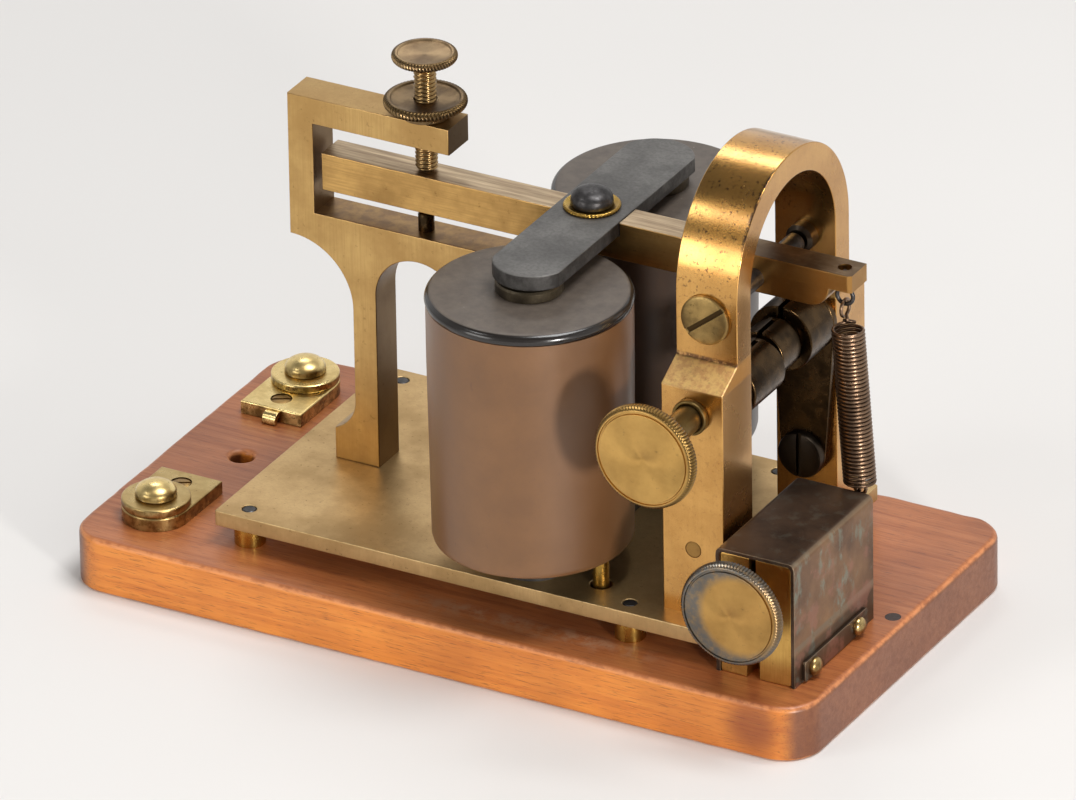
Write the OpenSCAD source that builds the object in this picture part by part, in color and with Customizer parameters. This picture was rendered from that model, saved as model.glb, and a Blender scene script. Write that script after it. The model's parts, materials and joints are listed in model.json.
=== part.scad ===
// Telegraph sounder: electromagnet, sprung lever and anvil on a wooden board.
// Origin: centre of the board's underside. +X runs to the spring end, -Y is the
// front, +Z is up. Millimetres.

/* [Board] */
// Length of the wooden board
board_l = 152; // [148:1:165]
// Width of the wooden board
board_w = 81.6; // [80:0.2:95]
// Thickness of the wooden board
board_t = 10.8; // [9:0.1:16]
// Corner radius of the board, seen from above
board_corner_r = 7.5; // [4:0.5:14]
// Radius of the mounting hole
mounting_hole_r = 2.1; // [1.5:0.1:2.6]

/* [Base plate] */
// Thickness of the brass base plate
plate_t = 3; // [2.5:0.1:3.6]
// Height of the posts that carry the plate
post_h = 3.8; // [3:0.1:5]
// Radius of the posts
post_r = 2.9; // [2.4:0.1:3.6]
// Half of the plate's width
plate_half_w = 32; // [31:0.5:38]

/* [Anvil] */
// Thickness of the anvil casting
anvil_t = 7.5; // [6:0.1:8.5]
// Distance from the upper-stop screw to the head's outer end
anvil_head_reach = 26.4; // [25:0.1:30]
// Height of each arm of the anvil's slot
anvil_arm_h = 5.2; // [4:0.1:6]
// Width of the opening between the anvil's two legs
portal_w = 17.5; // [15:0.5:19]

/* [Lever] */
// Thickness of the lever bar
lever_t = 6.3; // [5:0.1:6.6]
// Height of the lever bar
lever_h = 7.4; // [6:0.1:7.6]
// Swing of the lever between its two stops, in degrees
lever_travel = 0.85; // [0.4:0.05:0.9]

/* [Magnet] */
// Radius of the coil covers at the top
coil_r = 18.7; // [16:0.1:19]
// Distance of each coil's axis from the centre plane
coil_offset = 23.6; // [23.5:0.1:25]
// Radius of the iron cores
core_r = 4.6; // [3.5:0.1:5.5]

/* [Arch] */
// Width of the arch along the lever
arch_w = 12.4; // [11:0.1:13]
// Half of the opening between the arch's legs
arch_inner = 16.15; // [15.9:0.05:17]
// Thickness of the arch's crown
arch_t = 5.25; // [4:0.05:6]

/* [Knobs] */
// Radius of the two large knurled knobs
knob_r = 10.1; // [8:0.1:11.5]
// Thickness of the two large knurled knobs
knob_t = 2.8; // [2.2:0.1:4.5]

/* [Terminals] */
// Width of the terminal plates
terminal_w = 12.8; // [11:0.1:13.5]
// Thickness of the terminal plates
terminal_t = 2.7; // [2:0.1:3.5]

/* [Hidden] */
$fn = 64;

// Running clearance, on the radius, between a shaft and its bore
fit = 0.05;
// Overshoot of every cut
over = 1;

plate_bottom = board_t + post_h;
plate_top = plate_bottom + plate_t;
plate_left = -49.3;
plate_right = 53.2;
post_x = [-44, 34.6];
post_y = 28.4;
plate_screw_r = 1.4;
counterbore_r = 3.2;
counterbore_h = 3;

// Lever pivot
pivot_x = 47;
pivot_z = 74.5;
lever_top = 79;
lever_bottom = lever_top - lever_h;
lever_left = -41.8;
lever_right = 66.4;
arbor_r = 1.9;
arbor_half = 12.6;
pivot_pin_r = 0.9;
pivot_pin_l = 2.5;
eye_x = 63.6;
eye_hole_r = 1.3;
tail_tip_h = 3.4;
tail_x = 57.9;

// Stops
stop_x = -22;
screw_x = -21.7;
stop_drop = (pivot_x - stop_x) * sin(lever_travel);
stop_gap = 0.07;
stop_top = lever_bottom - stop_drop - stop_gap;
stop_pin_r = 1.5;
screw_r = 2.1;
tip_gap = 0.05;
head_r = 6.05;
head_bottom = 101;
head_top = 102.8;
nut_r = 7.7;
nut_rim_bottom = 91.8;
nut_top = 93.8;

// Anvil, as distances from the stop axis
anvil_top = 90;
slot_top = anvil_top - anvil_arm_h;
slot_floor = 66.8;
head_bottom_z = slot_floor - anvil_arm_h;
slot_inner = anvil_head_reach - anvil_arm_h;
arm_reach = 7;
waist_out = 13.6;
foot_out = 17.9;
foot_h = 6.2;
flare_r = 6.6;
head_fillet_r = anvil_head_reach - waist_out;

// Armature and magnet
magnet_x = 12.3;
armature_x = 12.65;
armature_w = 13.7;
armature_t = 3;
armature_end_r = 7.4;
armature_half = 30.1;
armature_bottom = 76.3;
armature_top = armature_bottom + armature_t;
yoke_t = 6.6;
yoke_w = 13;
coil_bottom = plate_top + yoke_t;
coil_cap_bottom = 71.4;
coil_cap_top = 73.4;
pole_r = 6.2;
core_top = 75.6;
bobbin_t = 0.8;
flange_t = 2;
cap_r = coil_r + 0.2;
rim_round = 1.4;
sleeve_t = 1;
coil_foot_r = coil_r - 0.4;
lead_x = 26.6;
lead_y = 24.5;
lead_end = [-60, 17.5];
wire_z = 1.6;
wire_r = 0.8;

// Arch
arch_outer = arch_inner + arch_t;
arch_axis_z = 78.2;
leg_outer = 27.2;
step_top = 66.3;
step_bottom = 63;
trunnion_r = 2.7;
trunnion_tip = 13.3;
trunnion_head_r = 4.75;
trunnion_head_t = 1.1;

// Upper arbor and its yoke
upper_z = 57.9;
upper_x = 47.1;
upper_r = 2.6;
upper_face = 46;
yoke_pivot_z = 30.8;
yoke_arm_t = 1.5;
yoke_screw_r = 1.6;
yoke_head_r = 4.5;
yoke_head_t = 1.8;
sleeve_far_r = 6.4;
sleeve_near_r = 5.3;
lobe_dx = 0.8;
lobe_dz = -0.6;

// Spring winder
winder_x = 61.7;
winder_z = 27.7;
winder_face = 41.5;
winder_r = 2.3;
drum_r = 4.2;
drum_flange_r = 5.2;
drum_half = 1.9;
box_left = 54.4;
box_right = 70.3;
box_front = -32.7;
box_back = -2.4;
box_top = 35.8;
sheet_t = 0.8;
slit_w = 1.4;
cover_screw_y = [-26.7, -9.9];
cover_screw_z = 12.9;

// Spring between the winder and the lever's tail
spring_r = 3.08;
spring_wire_r = 0.36;
spring_bottom = [66.4, 0, 36.1];
spring_top = [64.1, 0, 67.2];
eye_ring_r = 1.6;
eye_ring_z = 73.3;
link_ring_z = 70.9;
cord_r = 0.35;
cord_x = winder_x + drum_r + cord_r + fit;

// Terminals
terminal_x = -64.1;
terminal_y = 27.6;
terminal_end = 14.6;
washer_t = 1.6;
terminal_screw_y = 18.6;
binding_r = 1.6;
binding_head_r = 3.9;
binding_head_h = 3;

brass = [0.72, 0.55, 0.27];
dull_brass = [0.55, 0.45, 0.27];
bright_brass = [0.80, 0.60, 0.30];
bronze = [0.42, 0.34, 0.24];
iron = [0.30, 0.31, 0.33];
steel = [0.36, 0.36, 0.37];
ebonite = [0.20, 0.18, 0.17];
cover_brown = [0.50, 0.36, 0.28];
copper = [0.60, 0.36, 0.22];
mahogany = [0.62, 0.32, 0.20];

// A cylinder from one height to another
module upright(r, z0, z1) {
    translate([0, 0, z0]) cylinder(r = r, h = z1 - z0);
}

// A cylinder along +Y between two y values, on the axis through x and z
module along_y(r, x, z, y0, y1) {
    translate([x, y0, z]) rotate([-90, 0, 0]) cylinder(r = r, h = y1 - y0);
}

// A cylinder along +X between two x values
module along_x(r, x0, x1, y, z) {
    translate([x0, y, z]) rotate([0, 90, 0]) cylinder(r = r, h = x1 - x0);
}

// An outline drawn in X and Z, given a thickness centred on Y
module side_plate(t) {
    translate([0, t / 2, 0]) rotate([90, 0, 0]) linear_extrude(t) children();
}

// A shallow dome of a given radius and height, standing on z = 0
module dome(r, h) {
    ball_r = (r * r + h * h) / (2 * h);
    intersection() {
        translate([0, 0, h - ball_r]) sphere(r = ball_r, $fn = 96);
        cylinder(r = r, h = h);
    }
}

// A ring of round wire in the X-Z plane
module ring_xz(ring_r, r) {
    rotate([90, 0, 0]) rotate_extrude() translate([ring_r, 0]) circle(r = r, $fn = 24);
}

module at_posts() {
    for (x = post_x, s = [-1, 1]) translate([x, s * post_y, 0]) children();
}

module at_coils() {
    for (s = [-1, 1]) translate([magnet_x, s * coil_offset, 0]) children();
}

module at_feet() {
    foot_centre = (foot_out + portal_w / 2) / 2;
    for (s = [-1, 1]) translate([stop_x + s * foot_centre, 0, 0]) children();
}

module at_legs() {
    for (s = [-1, 1]) translate([pivot_x, s * (arch_inner + leg_outer) / 2, 0]) children();
}

module rounded_board(l, w, r) {
    square([l - 2 * r, w], center = true);
    square([l, w - 2 * r], center = true);
    for (x = [-1, 1], y = [-1, 1]) translate([x * (l / 2 - r), y * (w / 2 - r)]) circle(r = r);
}

// The groove and holes on one side of the board for a coil's lead
module lead_channel(s) {
    a = [lead_end[0], s * lead_end[1]];
    b = [lead_x, s * lead_y];
    run = norm(b - a);
    translate([a[0], a[1], 0]) {
        rotate([0, 0, atan2(b[1] - a[1], b[0] - a[0])])
            translate([-1.5, -1.5, -over]) cube([run + 3, 3, 3 + over]);
        upright(1.1, 0, board_t + over);
    }
    translate([b[0], b[1], 0]) upright(1.1, 0, board_t + over);
}

module base_board() color(mahogany) difference() {
    linear_extrude(board_t) rounded_board(board_l, board_w, board_corner_r);
    translate([-62, 0, -over]) cylinder(r = mounting_hole_r, h = board_t + 2 * over);
    translate([73.2, -0.5, board_t - 3]) cylinder(r = 1.5, h = 3 + over);
    at_posts() {
        upright(plate_screw_r, -over, board_t + over);
        upright(counterbore_r, -over, counterbore_h);
    }
    for (s = [-1, 1]) {
        lead_channel(s);
        translate([terminal_x, s * terminal_screw_y, 4]) cylinder(r = 1.3, h = board_t);
        translate([terminal_x, s * terminal_y, 5.5]) cylinder(r = 2, h = board_t);
    }
    for (y = [-24, -10]) translate([winder_x, y, 0]) {
        upright(1.4, -over, board_t + over);
        upright(counterbore_r, -over, counterbore_h);
    }
}

module board_plug() color(steel) translate([73.2, -0.5, board_t - 3]) cylinder(r = 1.5, h = 3);

module base_plate() color(dull_brass) difference() {
    translate([plate_left, -plate_half_w, plate_bottom])
        cube([plate_right - plate_left, 2 * plate_half_w, plate_t]);
    at_posts() upright(plate_screw_r, plate_bottom - over, plate_top + over);
    at_feet() upright(1.5, plate_bottom - over, plate_top + over);
    at_legs() upright(1.8, plate_bottom - over, plate_top + over);
    at_coils() upright(1.8, plate_bottom - over, plate_top + over);
    for (s = [-1, 1]) translate([lead_x, s * lead_y, 0])
        upright(2.1, plate_bottom - over, plate_top + over);
}

module plate_posts() color(brass) at_posts() difference() {
    upright(post_r, board_t, plate_bottom);
    upright(plate_screw_r, board_t - over, plate_bottom + over);
}

// Screws up from under the board; their ends show in the plate's top
module plate_screws() color(steel) at_posts() difference() {
    union() {
        upright(plate_screw_r, counterbore_h, plate_top);
        upright(2.7, 1.2, counterbore_h);
    }
    translate([-4, -0.35, 0]) cube([8, 0.7, 2]);
}

// One half of the anvil's outline, to the right of the stop axis
module anvil_half(reach) {
    difference() {
        union() {
            translate([0, head_bottom_z]) square([reach, slot_floor - head_bottom_z]);
            difference() {
                translate([0, plate_top]) square([reach, head_bottom_z - plate_top]);
                translate([anvil_head_reach, head_bottom_z - head_fillet_r]) circle(r = head_fillet_r);
                translate([waist_out, plate_top - over])
                    square([reach, head_bottom_z - head_fillet_r - plate_top + over]);
            }
            foot_outline();
        }
        translate([0, plate_top - over])
            square([portal_w / 2, head_bottom_z - portal_w / 2 - plate_top + over]);
        translate([0, head_bottom_z - portal_w / 2]) circle(r = portal_w / 2);
    }
}

module foot_outline() {
    flare_top = plate_top + foot_h + sqrt(pow(flare_r, 2) - pow(flare_r - foot_out + waist_out, 2));
    difference() {
        translate([0, plate_top]) square([foot_out, flare_top - plate_top]);
        translate([waist_out + flare_r, flare_top]) circle(r = flare_r);
    }
}

module anvil_outline() {
    anvil_half(anvil_head_reach);
    mirror([1, 0]) anvil_half(anvil_head_reach);
    translate([-anvil_head_reach, slot_floor])
        square([anvil_head_reach - slot_inner, anvil_top - slot_floor]);
    translate([-anvil_head_reach, slot_top]) square([anvil_head_reach + arm_reach, anvil_arm_h]);
}

module anvil() color(brass) difference() {
    translate([stop_x, 0, 0]) side_plate(anvil_t) anvil_outline();
    translate([screw_x, 0, 0]) upright(screw_r + fit, slot_top - over, anvil_top + over);
    translate([stop_x, 0, 0]) upright(stop_pin_r, head_bottom_z + 1.2, slot_floor + over);
    at_feet() upright(1.5, plate_top - over, plate_top + 8);
}

module anvil_screws() color(steel) at_feet() {
    upright(1.5, plate_bottom, plate_top + 8);
    upright(2.8, plate_bottom - 2, plate_bottom);
}

module stop_pin() color(bronze) translate([stop_x, 0, 0])
    upright(stop_pin_r, head_bottom_z + 1.2, stop_top);

module arch() color(bright_brass) difference() {
    translate([pivot_x, 0, 0]) rotate([0, 0, 90]) side_plate(arch_w) difference() {
        union() {
            translate([0, arch_axis_z]) circle(r = arch_outer, $fn = 128);
            translate([-arch_outer, plate_top]) square([2 * arch_outer, arch_axis_z - plate_top]);
            polygon([
                [-leg_outer, plate_top], [leg_outer, plate_top], [leg_outer, step_bottom],
                [arch_outer, step_top], [-arch_outer, step_top], [-leg_outer, step_bottom]
            ]);
        }
        translate([0, arch_axis_z]) circle(r = arch_inner, $fn = 128);
        translate([-arch_inner, plate_top - over])
            square([2 * arch_inner, arch_axis_z - plate_top + over]);
    }
    along_y(trunnion_r, pivot_x, pivot_z, -leg_outer, leg_outer);
    along_y(upper_r + fit, upper_x, upper_z, -leg_outer - over, -arch_inner + over);
    along_y(yoke_screw_r, pivot_x, yoke_pivot_z, -leg_outer - over, leg_outer + over);
    at_legs() upright(1.8, plate_top - over, plate_top + 9);
}

module arch_screws() color(steel) at_legs() {
    upright(1.8, plate_bottom, plate_top + 9);
    upright(3.1, plate_bottom - 2, plate_bottom);
}

module trunnion_screw() difference() {
    union() {
        along_y(trunnion_r, pivot_x, pivot_z, trunnion_tip, arch_outer);
        along_y(trunnion_head_r, pivot_x, pivot_z, arch_outer, arch_outer + trunnion_head_t);
        along_y(pivot_pin_r, pivot_x, pivot_z, trunnion_tip - pivot_pin_l, trunnion_tip);
    }
    translate([pivot_x, arch_outer + trunnion_head_t, pivot_z]) rotate([0, 35, 0])
        cube([12, 1.2, 1], center = true);
}

module trunnion_screws() color(dull_brass) {
    trunnion_screw();
    mirror([0, 1, 0]) trunnion_screw();
}

module magnet_yoke() color(iron) difference() {
    translate([magnet_x, 0, plate_top]) linear_extrude(yoke_t) {
        square([yoke_w, 2 * coil_offset], center = true);
        for (s = [-1, 1]) translate([0, s * coil_offset]) circle(r = yoke_w / 2);
    }
    at_coils() upright(1.8, plate_top - over, coil_bottom + over);
}

module core_screws() color(steel) at_coils() {
    upright(1.8, plate_bottom, coil_bottom + 6);
    upright(3.1, plate_bottom - 2, plate_bottom);
}

module magnet_cores() color(iron) at_coils() difference() {
    union() {
        upright(core_r, coil_bottom, core_top);
        upright(pole_r, coil_cap_top, core_top);
    }
    upright(1.8, coil_bottom - over, coil_bottom + 6);
}

module coil_lower_flanges() color(ebonite) at_coils() difference() {
    upright(coil_foot_r - sleeve_t, coil_bottom, coil_bottom + flange_t);
    upright(core_r, coil_bottom - over, coil_bottom + flange_t + over);
}

module coil_caps() color(ebonite) at_coils() difference() {
    rotate_extrude() union() {
        cap_t = coil_cap_top - coil_cap_bottom;
        translate([0, coil_cap_bottom]) square([cap_r - rim_round, cap_t]);
        translate([0, coil_cap_bottom]) square([cap_r, cap_t - rim_round]);
        intersection() {
            translate([cap_r - rim_round, coil_cap_top - rim_round]) circle(r = rim_round);
            translate([0, coil_cap_bottom]) square([cap_r, cap_t]);
        }
    }
    upright(core_r, coil_cap_bottom - over, coil_cap_top + over);
}

module bobbin_tubes() color(ebonite) at_coils() difference() {
    upright(core_r + bobbin_t, coil_bottom + flange_t, coil_cap_bottom);
    upright(core_r, coil_bottom, coil_cap_top);
}

module coil_windings() color(copper) at_coils() difference() {
    upright(coil_foot_r - sleeve_t - 0.6, coil_bottom + flange_t, coil_cap_bottom);
    upright(core_r + bobbin_t, coil_bottom, coil_cap_top);
}

module coil_sleeves() color(cover_brown) at_coils() rotate_extrude() polygon([
    [coil_foot_r - sleeve_t, coil_bottom],
    [coil_foot_r - 0.5, coil_bottom],
    [coil_foot_r, coil_bottom + 1],
    [coil_r, coil_cap_bottom - 12],
    [coil_r, coil_cap_bottom],
    [coil_foot_r - sleeve_t, coil_cap_bottom]
]);

module lead_bushings() color(copper) for (s = [-1, 1]) translate([lead_x, s * lead_y, 0])
    difference() {
        upright(1.5, plate_bottom, coil_bottom);
        upright(wire_r + 0.1, plate_bottom - over, plate_top);
    }

module lead_wires() color(copper) for (s = [-1, 1]) {
    a = [lead_end[0], s * lead_end[1], wire_z];
    b = [lead_x, s * lead_y, wire_z];
    translate(a) rotate([0, 90, atan2(b[1] - a[1], b[0] - a[0])]) cylinder(r = wire_r, h = norm(b - a));
    translate([a[0], a[1], 0]) upright(wire_r + 0.1, wire_z - wire_r - 0.1, board_t);
    translate([b[0], b[1], 0]) upright(wire_r + 0.1, wire_z - wire_r - 0.1, plate_top);
}

// A terminal plate with its round end at +Y
module terminal_plate() difference() {
    translate([0, 0, board_t]) linear_extrude(terminal_t) {
        translate([0, terminal_y]) circle(r = terminal_w / 2);
        translate([-terminal_w / 2, terminal_end]) square([terminal_w, terminal_y - terminal_end]);
    }
    translate([0, terminal_y, 0]) upright(binding_r + fit, board_t - over, board_t + terminal_t + over);
    translate([0, terminal_screw_y, 0]) {
        upright(1.3, board_t - over, board_t + terminal_t + over);
        upright(2, board_t + terminal_t - 0.9, board_t + terminal_t + over);
    }
}

module front_terminal() color(brass) translate([terminal_x, 0, 0]) mirror([0, 1, 0]) terminal_plate();

// The rear plate has a small tab bent down onto the board
module back_terminal() color(brass) translate([terminal_x, 0, 0]) {
    terminal_plate();
    translate([-0.9, terminal_end - 1.9, board_t]) cube([2.8, 1, terminal_t - 0.6]);
    translate([-0.9, terminal_end - 1.9, board_t + terminal_t - 1.4]) cube([2.8, 1.9, 0.8]);
}

module terminal_screws() color(steel) for (s = [-1, 1])
    translate([terminal_x, s * terminal_screw_y, 0]) difference() {
        union() {
            upright(1.3, 4, board_t + terminal_t - 0.9);
            upright(2, board_t + terminal_t - 0.9, board_t + terminal_t);
        }
        translate([0, 0, board_t + terminal_t]) rotate([0, 0, 30]) cube([6, 0.6, 1], center = true);
    }

module binding_washer() difference() {
    upright(terminal_w / 2, board_t + terminal_t, board_t + terminal_t + washer_t);
    upright(binding_r + fit, board_t, board_t + 2 * terminal_t);
}

module front_binding_washer() color(dull_brass) translate([terminal_x, -terminal_y, 0]) binding_washer();

module back_binding_washer() color(dull_brass) translate([terminal_x, terminal_y, 0]) binding_washer();

module binding_screw() {
    seat = board_t + terminal_t + washer_t;
    upright(binding_r, 6.5, seat);
    translate([0, 0, seat + 0.02]) cylinder(r = binding_head_r, h = 0.6);
    upright(binding_r, seat - 0.5, seat + 0.3);
    translate([0, 0, seat + 0.62]) dome(binding_head_r, binding_head_h - 0.6);
}

module front_binding_screw() color(brass) translate([terminal_x, -terminal_y, 0]) binding_screw();

module back_binding_screw() color(brass) translate([terminal_x, terminal_y, 0]) binding_screw();

// Folded sheet over the winder blocks, open at both ends
module winder_cover() color(bronze) difference() {
    translate([box_left, box_front, board_t])
        cube([box_right - box_left, box_back - box_front, box_top - board_t]);
    translate([box_left + sheet_t, box_front - over, board_t - over])
        cube([box_right - box_left - 2 * sheet_t, box_back - box_front + 2 * over,
            box_top - board_t - sheet_t + over]);
    for (y = cover_screw_y) along_x(1.1, box_right - 2, box_right + over, y, cover_screw_z);
}

module cover_strip() color(bronze) difference() {
    translate([box_right, -30, board_t + 0.2]) cube([0.7, 24, 4]);
    for (y = cover_screw_y) along_x(1.1, box_right - over, box_right + 2, y, cover_screw_z);
}

module cover_screws() color(brass) for (y = cover_screw_y) {
    along_x(1.1, box_right - 4.5, box_right + 0.7, y, cover_screw_z);
    translate([box_right + 0.7, y, cover_screw_z]) rotate([0, 90, 0]) dome(1.8, 1.4);
}

// Two brass cheeks that grip the winder's arbor
module winder_blocks() color(brass) difference() {
    translate([box_left + sheet_t, box_front + 0.3, board_t])
        cube([box_right - box_left - 2 * sheet_t, box_back - box_front - 0.6, box_top - sheet_t - board_t]);
    translate([winder_x - slit_w / 2, box_front - over, board_t + 3])
        cube([slit_w, box_back - box_front + 2 * over, box_top]);
    translate([winder_x - 1.2, box_front - over, board_t - over]) cube([2.6, 4 + over, 5 + over]);
    along_y(winder_r + fit, winder_x, winder_z, box_front - over, box_back + over);
    for (y = cover_screw_y) along_x(1.1, box_right - 4.5, box_right, y, cover_screw_z);
    for (y = [-24, -10]) translate([winder_x, y, 0]) upright(1.4, board_t - over, board_t + 3 + over);
}

module block_screws() color(steel) for (y = [-24, -10]) translate([winder_x, y, 0]) {
    upright(1.4, counterbore_h, board_t + 3);
    upright(2.7, 1.2, counterbore_h);
}

// One arm of the yoke, on the inner face of the far leg
module yoke_arm() difference() {
    intersection() {
        rotate([90, 0, 0]) translate([0, 0, -arch_inner]) linear_extrude(yoke_arm_t) {
            polygon([
                [pivot_x - yoke_head_r, yoke_pivot_z], [pivot_x + yoke_head_r, yoke_pivot_z],
                [upper_x + sleeve_far_r, upper_z], [upper_x - sleeve_far_r, upper_z]
            ]);
            translate([pivot_x, yoke_pivot_z]) circle(r = yoke_head_r);
            translate([upper_x, upper_z]) circle(r = sleeve_far_r);
        }
        translate([30, 0, 20]) cube([40, arch_inner, 60]);
    }
    along_y(yoke_screw_r, pivot_x, yoke_pivot_z, 0, arch_inner + over);
}

// A strap with two arms that holds the split sleeve
module arbor_yoke() color(bronze) difference() {
    union() {
        yoke_arm();
        mirror([0, 1, 0]) yoke_arm();
        along_y(sleeve_near_r, upper_x + lobe_dx, upper_z + lobe_dz, -arch_inner + 1, 0);
        along_y(sleeve_far_r, upper_x, upper_z, -1, arch_inner - 1);
    }
    along_y(upper_r + fit, upper_x, upper_z, -arch_inner - over, arch_inner + over);
    for (y = [-12, 2]) translate([upper_x - 0.5, y, upper_z]) cube([1, 8, 9]);
}

module yoke_screw() difference() {
    union() {
        along_y(yoke_screw_r, pivot_x, yoke_pivot_z, arch_inner - yoke_arm_t, leg_outer);
        along_y(yoke_head_r, pivot_x, yoke_pivot_z,
            arch_inner - yoke_arm_t - yoke_head_t, arch_inner - yoke_arm_t);
    }
    translate([pivot_x, arch_inner - yoke_arm_t - yoke_head_t, yoke_pivot_z])
        cube([1, 2, 12], center = true);
}

module yoke_screws() color(dull_brass) {
    yoke_screw();
    mirror([0, 1, 0]) yoke_screw();
}

module arbor_bushing() color(dull_brass) difference() {
    along_y(3.4, upper_x, upper_z, -leg_outer - 1.5, -leg_outer);
    along_y(upper_r + fit, upper_x, upper_z, -leg_outer - 3, -leg_outer + over);
}

module upper_arbor() color(dull_brass)
    along_y(upper_r, upper_x, upper_z, -upper_face + knob_t, arch_inner - 0.4);

module large_knob() {
    edge = 0.4;
    rotate([90, 0, 0]) rotate_extrude($fn = 96) polygon([
        [0, 0], [knob_r - edge, 0], [knob_r, edge], [knob_r, knob_t - edge],
        [knob_r - edge, knob_t], [0, knob_t]
    ]);
}

module upper_knob() color(brass) translate([upper_x, -upper_face + knob_t, upper_z]) large_knob();

module winder_knob() color(brass) translate([winder_x, -winder_face + knob_t, winder_z]) large_knob();

module winder_arbor() color(dull_brass) difference() {
    along_y(winder_r, winder_x, winder_z, -winder_face + knob_t, drum_half + 1.6);
    along_y(0.6, winder_x, winder_z, drum_half, drum_half + 3);
}

module winder_drum() color(dull_brass) difference() {
    union() {
        along_y(drum_r, winder_x, winder_z, -drum_half, drum_half);
        along_y(drum_flange_r, winder_x, winder_z, -drum_half, -drum_half + 0.5);
        along_y(drum_flange_r, winder_x, winder_z, drum_half - 0.5, drum_half);
    }
    along_y(winder_r, winder_x, winder_z, -drum_half - over, drum_half + over);
}

// The cord's free stretch from the drum up to the spring
module tension_cord() color(copper) translate([cord_x, 0, 0]) upright(cord_r, winder_z - 3.2, 34.4);

module lever_outline() difference() {
    translate([lever_left, lever_bottom]) square([lever_right - lever_left, lever_h]);
    translate([armature_x - armature_w / 2, armature_bottom])
        square([armature_w, lever_top - armature_bottom + over]);
    difference() {
        translate([tail_x, lever_bottom - over])
            square([lever_right - tail_x + over, lever_h - tail_tip_h + over]);
        translate([tail_x, lever_top - tail_tip_h])
            circle(r = lever_h - tail_tip_h);
    }
}

module lever_bar() color(brass) difference() {
    side_plate(lever_t) lever_outline();
    along_y(arbor_r, pivot_x, pivot_z, -lever_t, lever_t);
    translate([eye_x, 0, 0]) upright(eye_hole_r, lever_bottom - over, lever_top + over);
    translate([magnet_x, 0, 0]) upright(1.9, lever_bottom + 1.2, lever_top);
    translate([lever_right, -lever_t / 2, lever_bottom]) rotate([0, 0, 30])
        translate([-4, -4, -over]) cube([8, 4, lever_h + 2 * over]);
}

module armature() color(iron) difference() {
    translate([armature_x, 0, armature_bottom]) linear_extrude(armature_t) {
        end_y = armature_half - armature_end_r;
        square([armature_w, 2 * end_y], center = true);
        intersection() {
            square([armature_w, 2 * armature_half], center = true);
            for (s = [-1, 1]) translate([0, s * end_y]) circle(r = armature_end_r);
        }
    }
    translate([magnet_x, 0, 0]) upright(1.9, armature_bottom - over, lever_top + 3);
}

module armature_washer() color(brass) translate([magnet_x, 0, 0]) difference() {
    upright(5.3, armature_top, armature_top + 0.8);
    upright(1.9, armature_top - over, armature_top + 2);
}

module armature_screw() color(steel) translate([magnet_x, 0, 0]) {
    upright(1.9, lever_bottom + 1.2, armature_top + 0.8);
    translate([0, 0, armature_top + 0.8]) dome(3.9, 3);
}

module lever_arbor() color(steel) difference() {
    along_y(arbor_r, pivot_x, pivot_z, -arbor_half, arbor_half);
    for (s = [-1, 1]) along_y(pivot_pin_r + fit, pivot_x, pivot_z,
        s * arbor_half - pivot_pin_l, s * arbor_half + pivot_pin_l);
}

// Wire eye hanging from the lever's tail
module lever_eye() color(steel) {
    translate([eye_x, 0, eye_ring_z]) ring_xz(eye_ring_r, 0.4);
    translate([eye_x, 0, 0]) upright(0.45, eye_ring_z + eye_ring_r, lever_top - 0.6);
}

// The spring's envelope, leaning from the drum to the lever's eye, with its top loop
module retractile_spring() color(copper) {
    axis = spring_top - spring_bottom;
    translate(spring_bottom) rotate([0, atan2(axis[0], axis[2]), 0]) difference() {
        cylinder(r = spring_r, h = norm(axis));
        translate([0, 0, -over]) cylinder(r = spring_r - 2 * spring_wire_r, h = norm(axis) + 2 * over);
    }
    translate([eye_x, 0, link_ring_z]) rotate([0, 0, 90]) ring_xz(eye_ring_r, spring_wire_r);
}

module adjusting_screw() color(bronze) translate([screw_x, 0, 0])
    upright(screw_r, lever_top + tip_gap, head_bottom);

module adjusting_head() color(bronze) translate([screw_x, 0, 0]) rotate_extrude($fn = 96) polygon([
    [0, head_bottom + 0.02], [head_r - 1.4, head_bottom + 0.02], [head_r, head_bottom + 0.7],
    [head_r, head_top - 0.5], [head_r - 0.8, head_top], [head_r - 1.1, head_top - 0.3],
    [0, head_top - 0.3]
]);

module lock_nut() color(bronze) translate([screw_x, 0, 0]) rotate_extrude($fn = 96) polygon([
    [screw_r + fit, anvil_top + 0.02], [4.6, anvil_top + 0.02], [4.6, nut_rim_bottom],
    [nut_r - 0.6, nut_rim_bottom], [nut_r, nut_rim_bottom + 0.6], [nut_r, nut_top - 0.6],
    [nut_r - 0.6, nut_top], [nut_r - 1.1, nut_top - 0.4], [screw_r + fit, nut_top - 0.4]
]);

base_board();
board_plug();
base_plate();
plate_posts();
plate_screws();
anvil();
anvil_screws();
stop_pin();
arch();
arch_screws();
trunnion_screws();
magnet_yoke();
core_screws();
magnet_cores();
coil_lower_flanges();
coil_caps();
bobbin_tubes();
coil_windings();
coil_sleeves();
lead_bushings();
lead_wires();
front_terminal();
back_terminal();
terminal_screws();
front_binding_washer();
back_binding_washer();
front_binding_screw();
back_binding_screw();
winder_cover();
cover_strip();
cover_screws();
winder_blocks();
block_screws();
arbor_yoke();
yoke_screws();
arbor_bushing();
upper_arbor();
upper_knob();
winder_knob();
winder_arbor();
winder_drum();
tension_cord();
lever_bar();
armature();
armature_screw();
armature_washer();
lever_arbor();
lever_eye();
retractile_spring();
adjusting_screw();
adjusting_head();
lock_nut();
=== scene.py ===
"""Looks of the telegraph sounder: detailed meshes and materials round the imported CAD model.

Shapes are made in millimetres, in the part's own frame, and scaled to metres when a piece is made.
"""

import json
from math import atan2, cos, hypot, pi, radians, sin, sqrt

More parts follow.
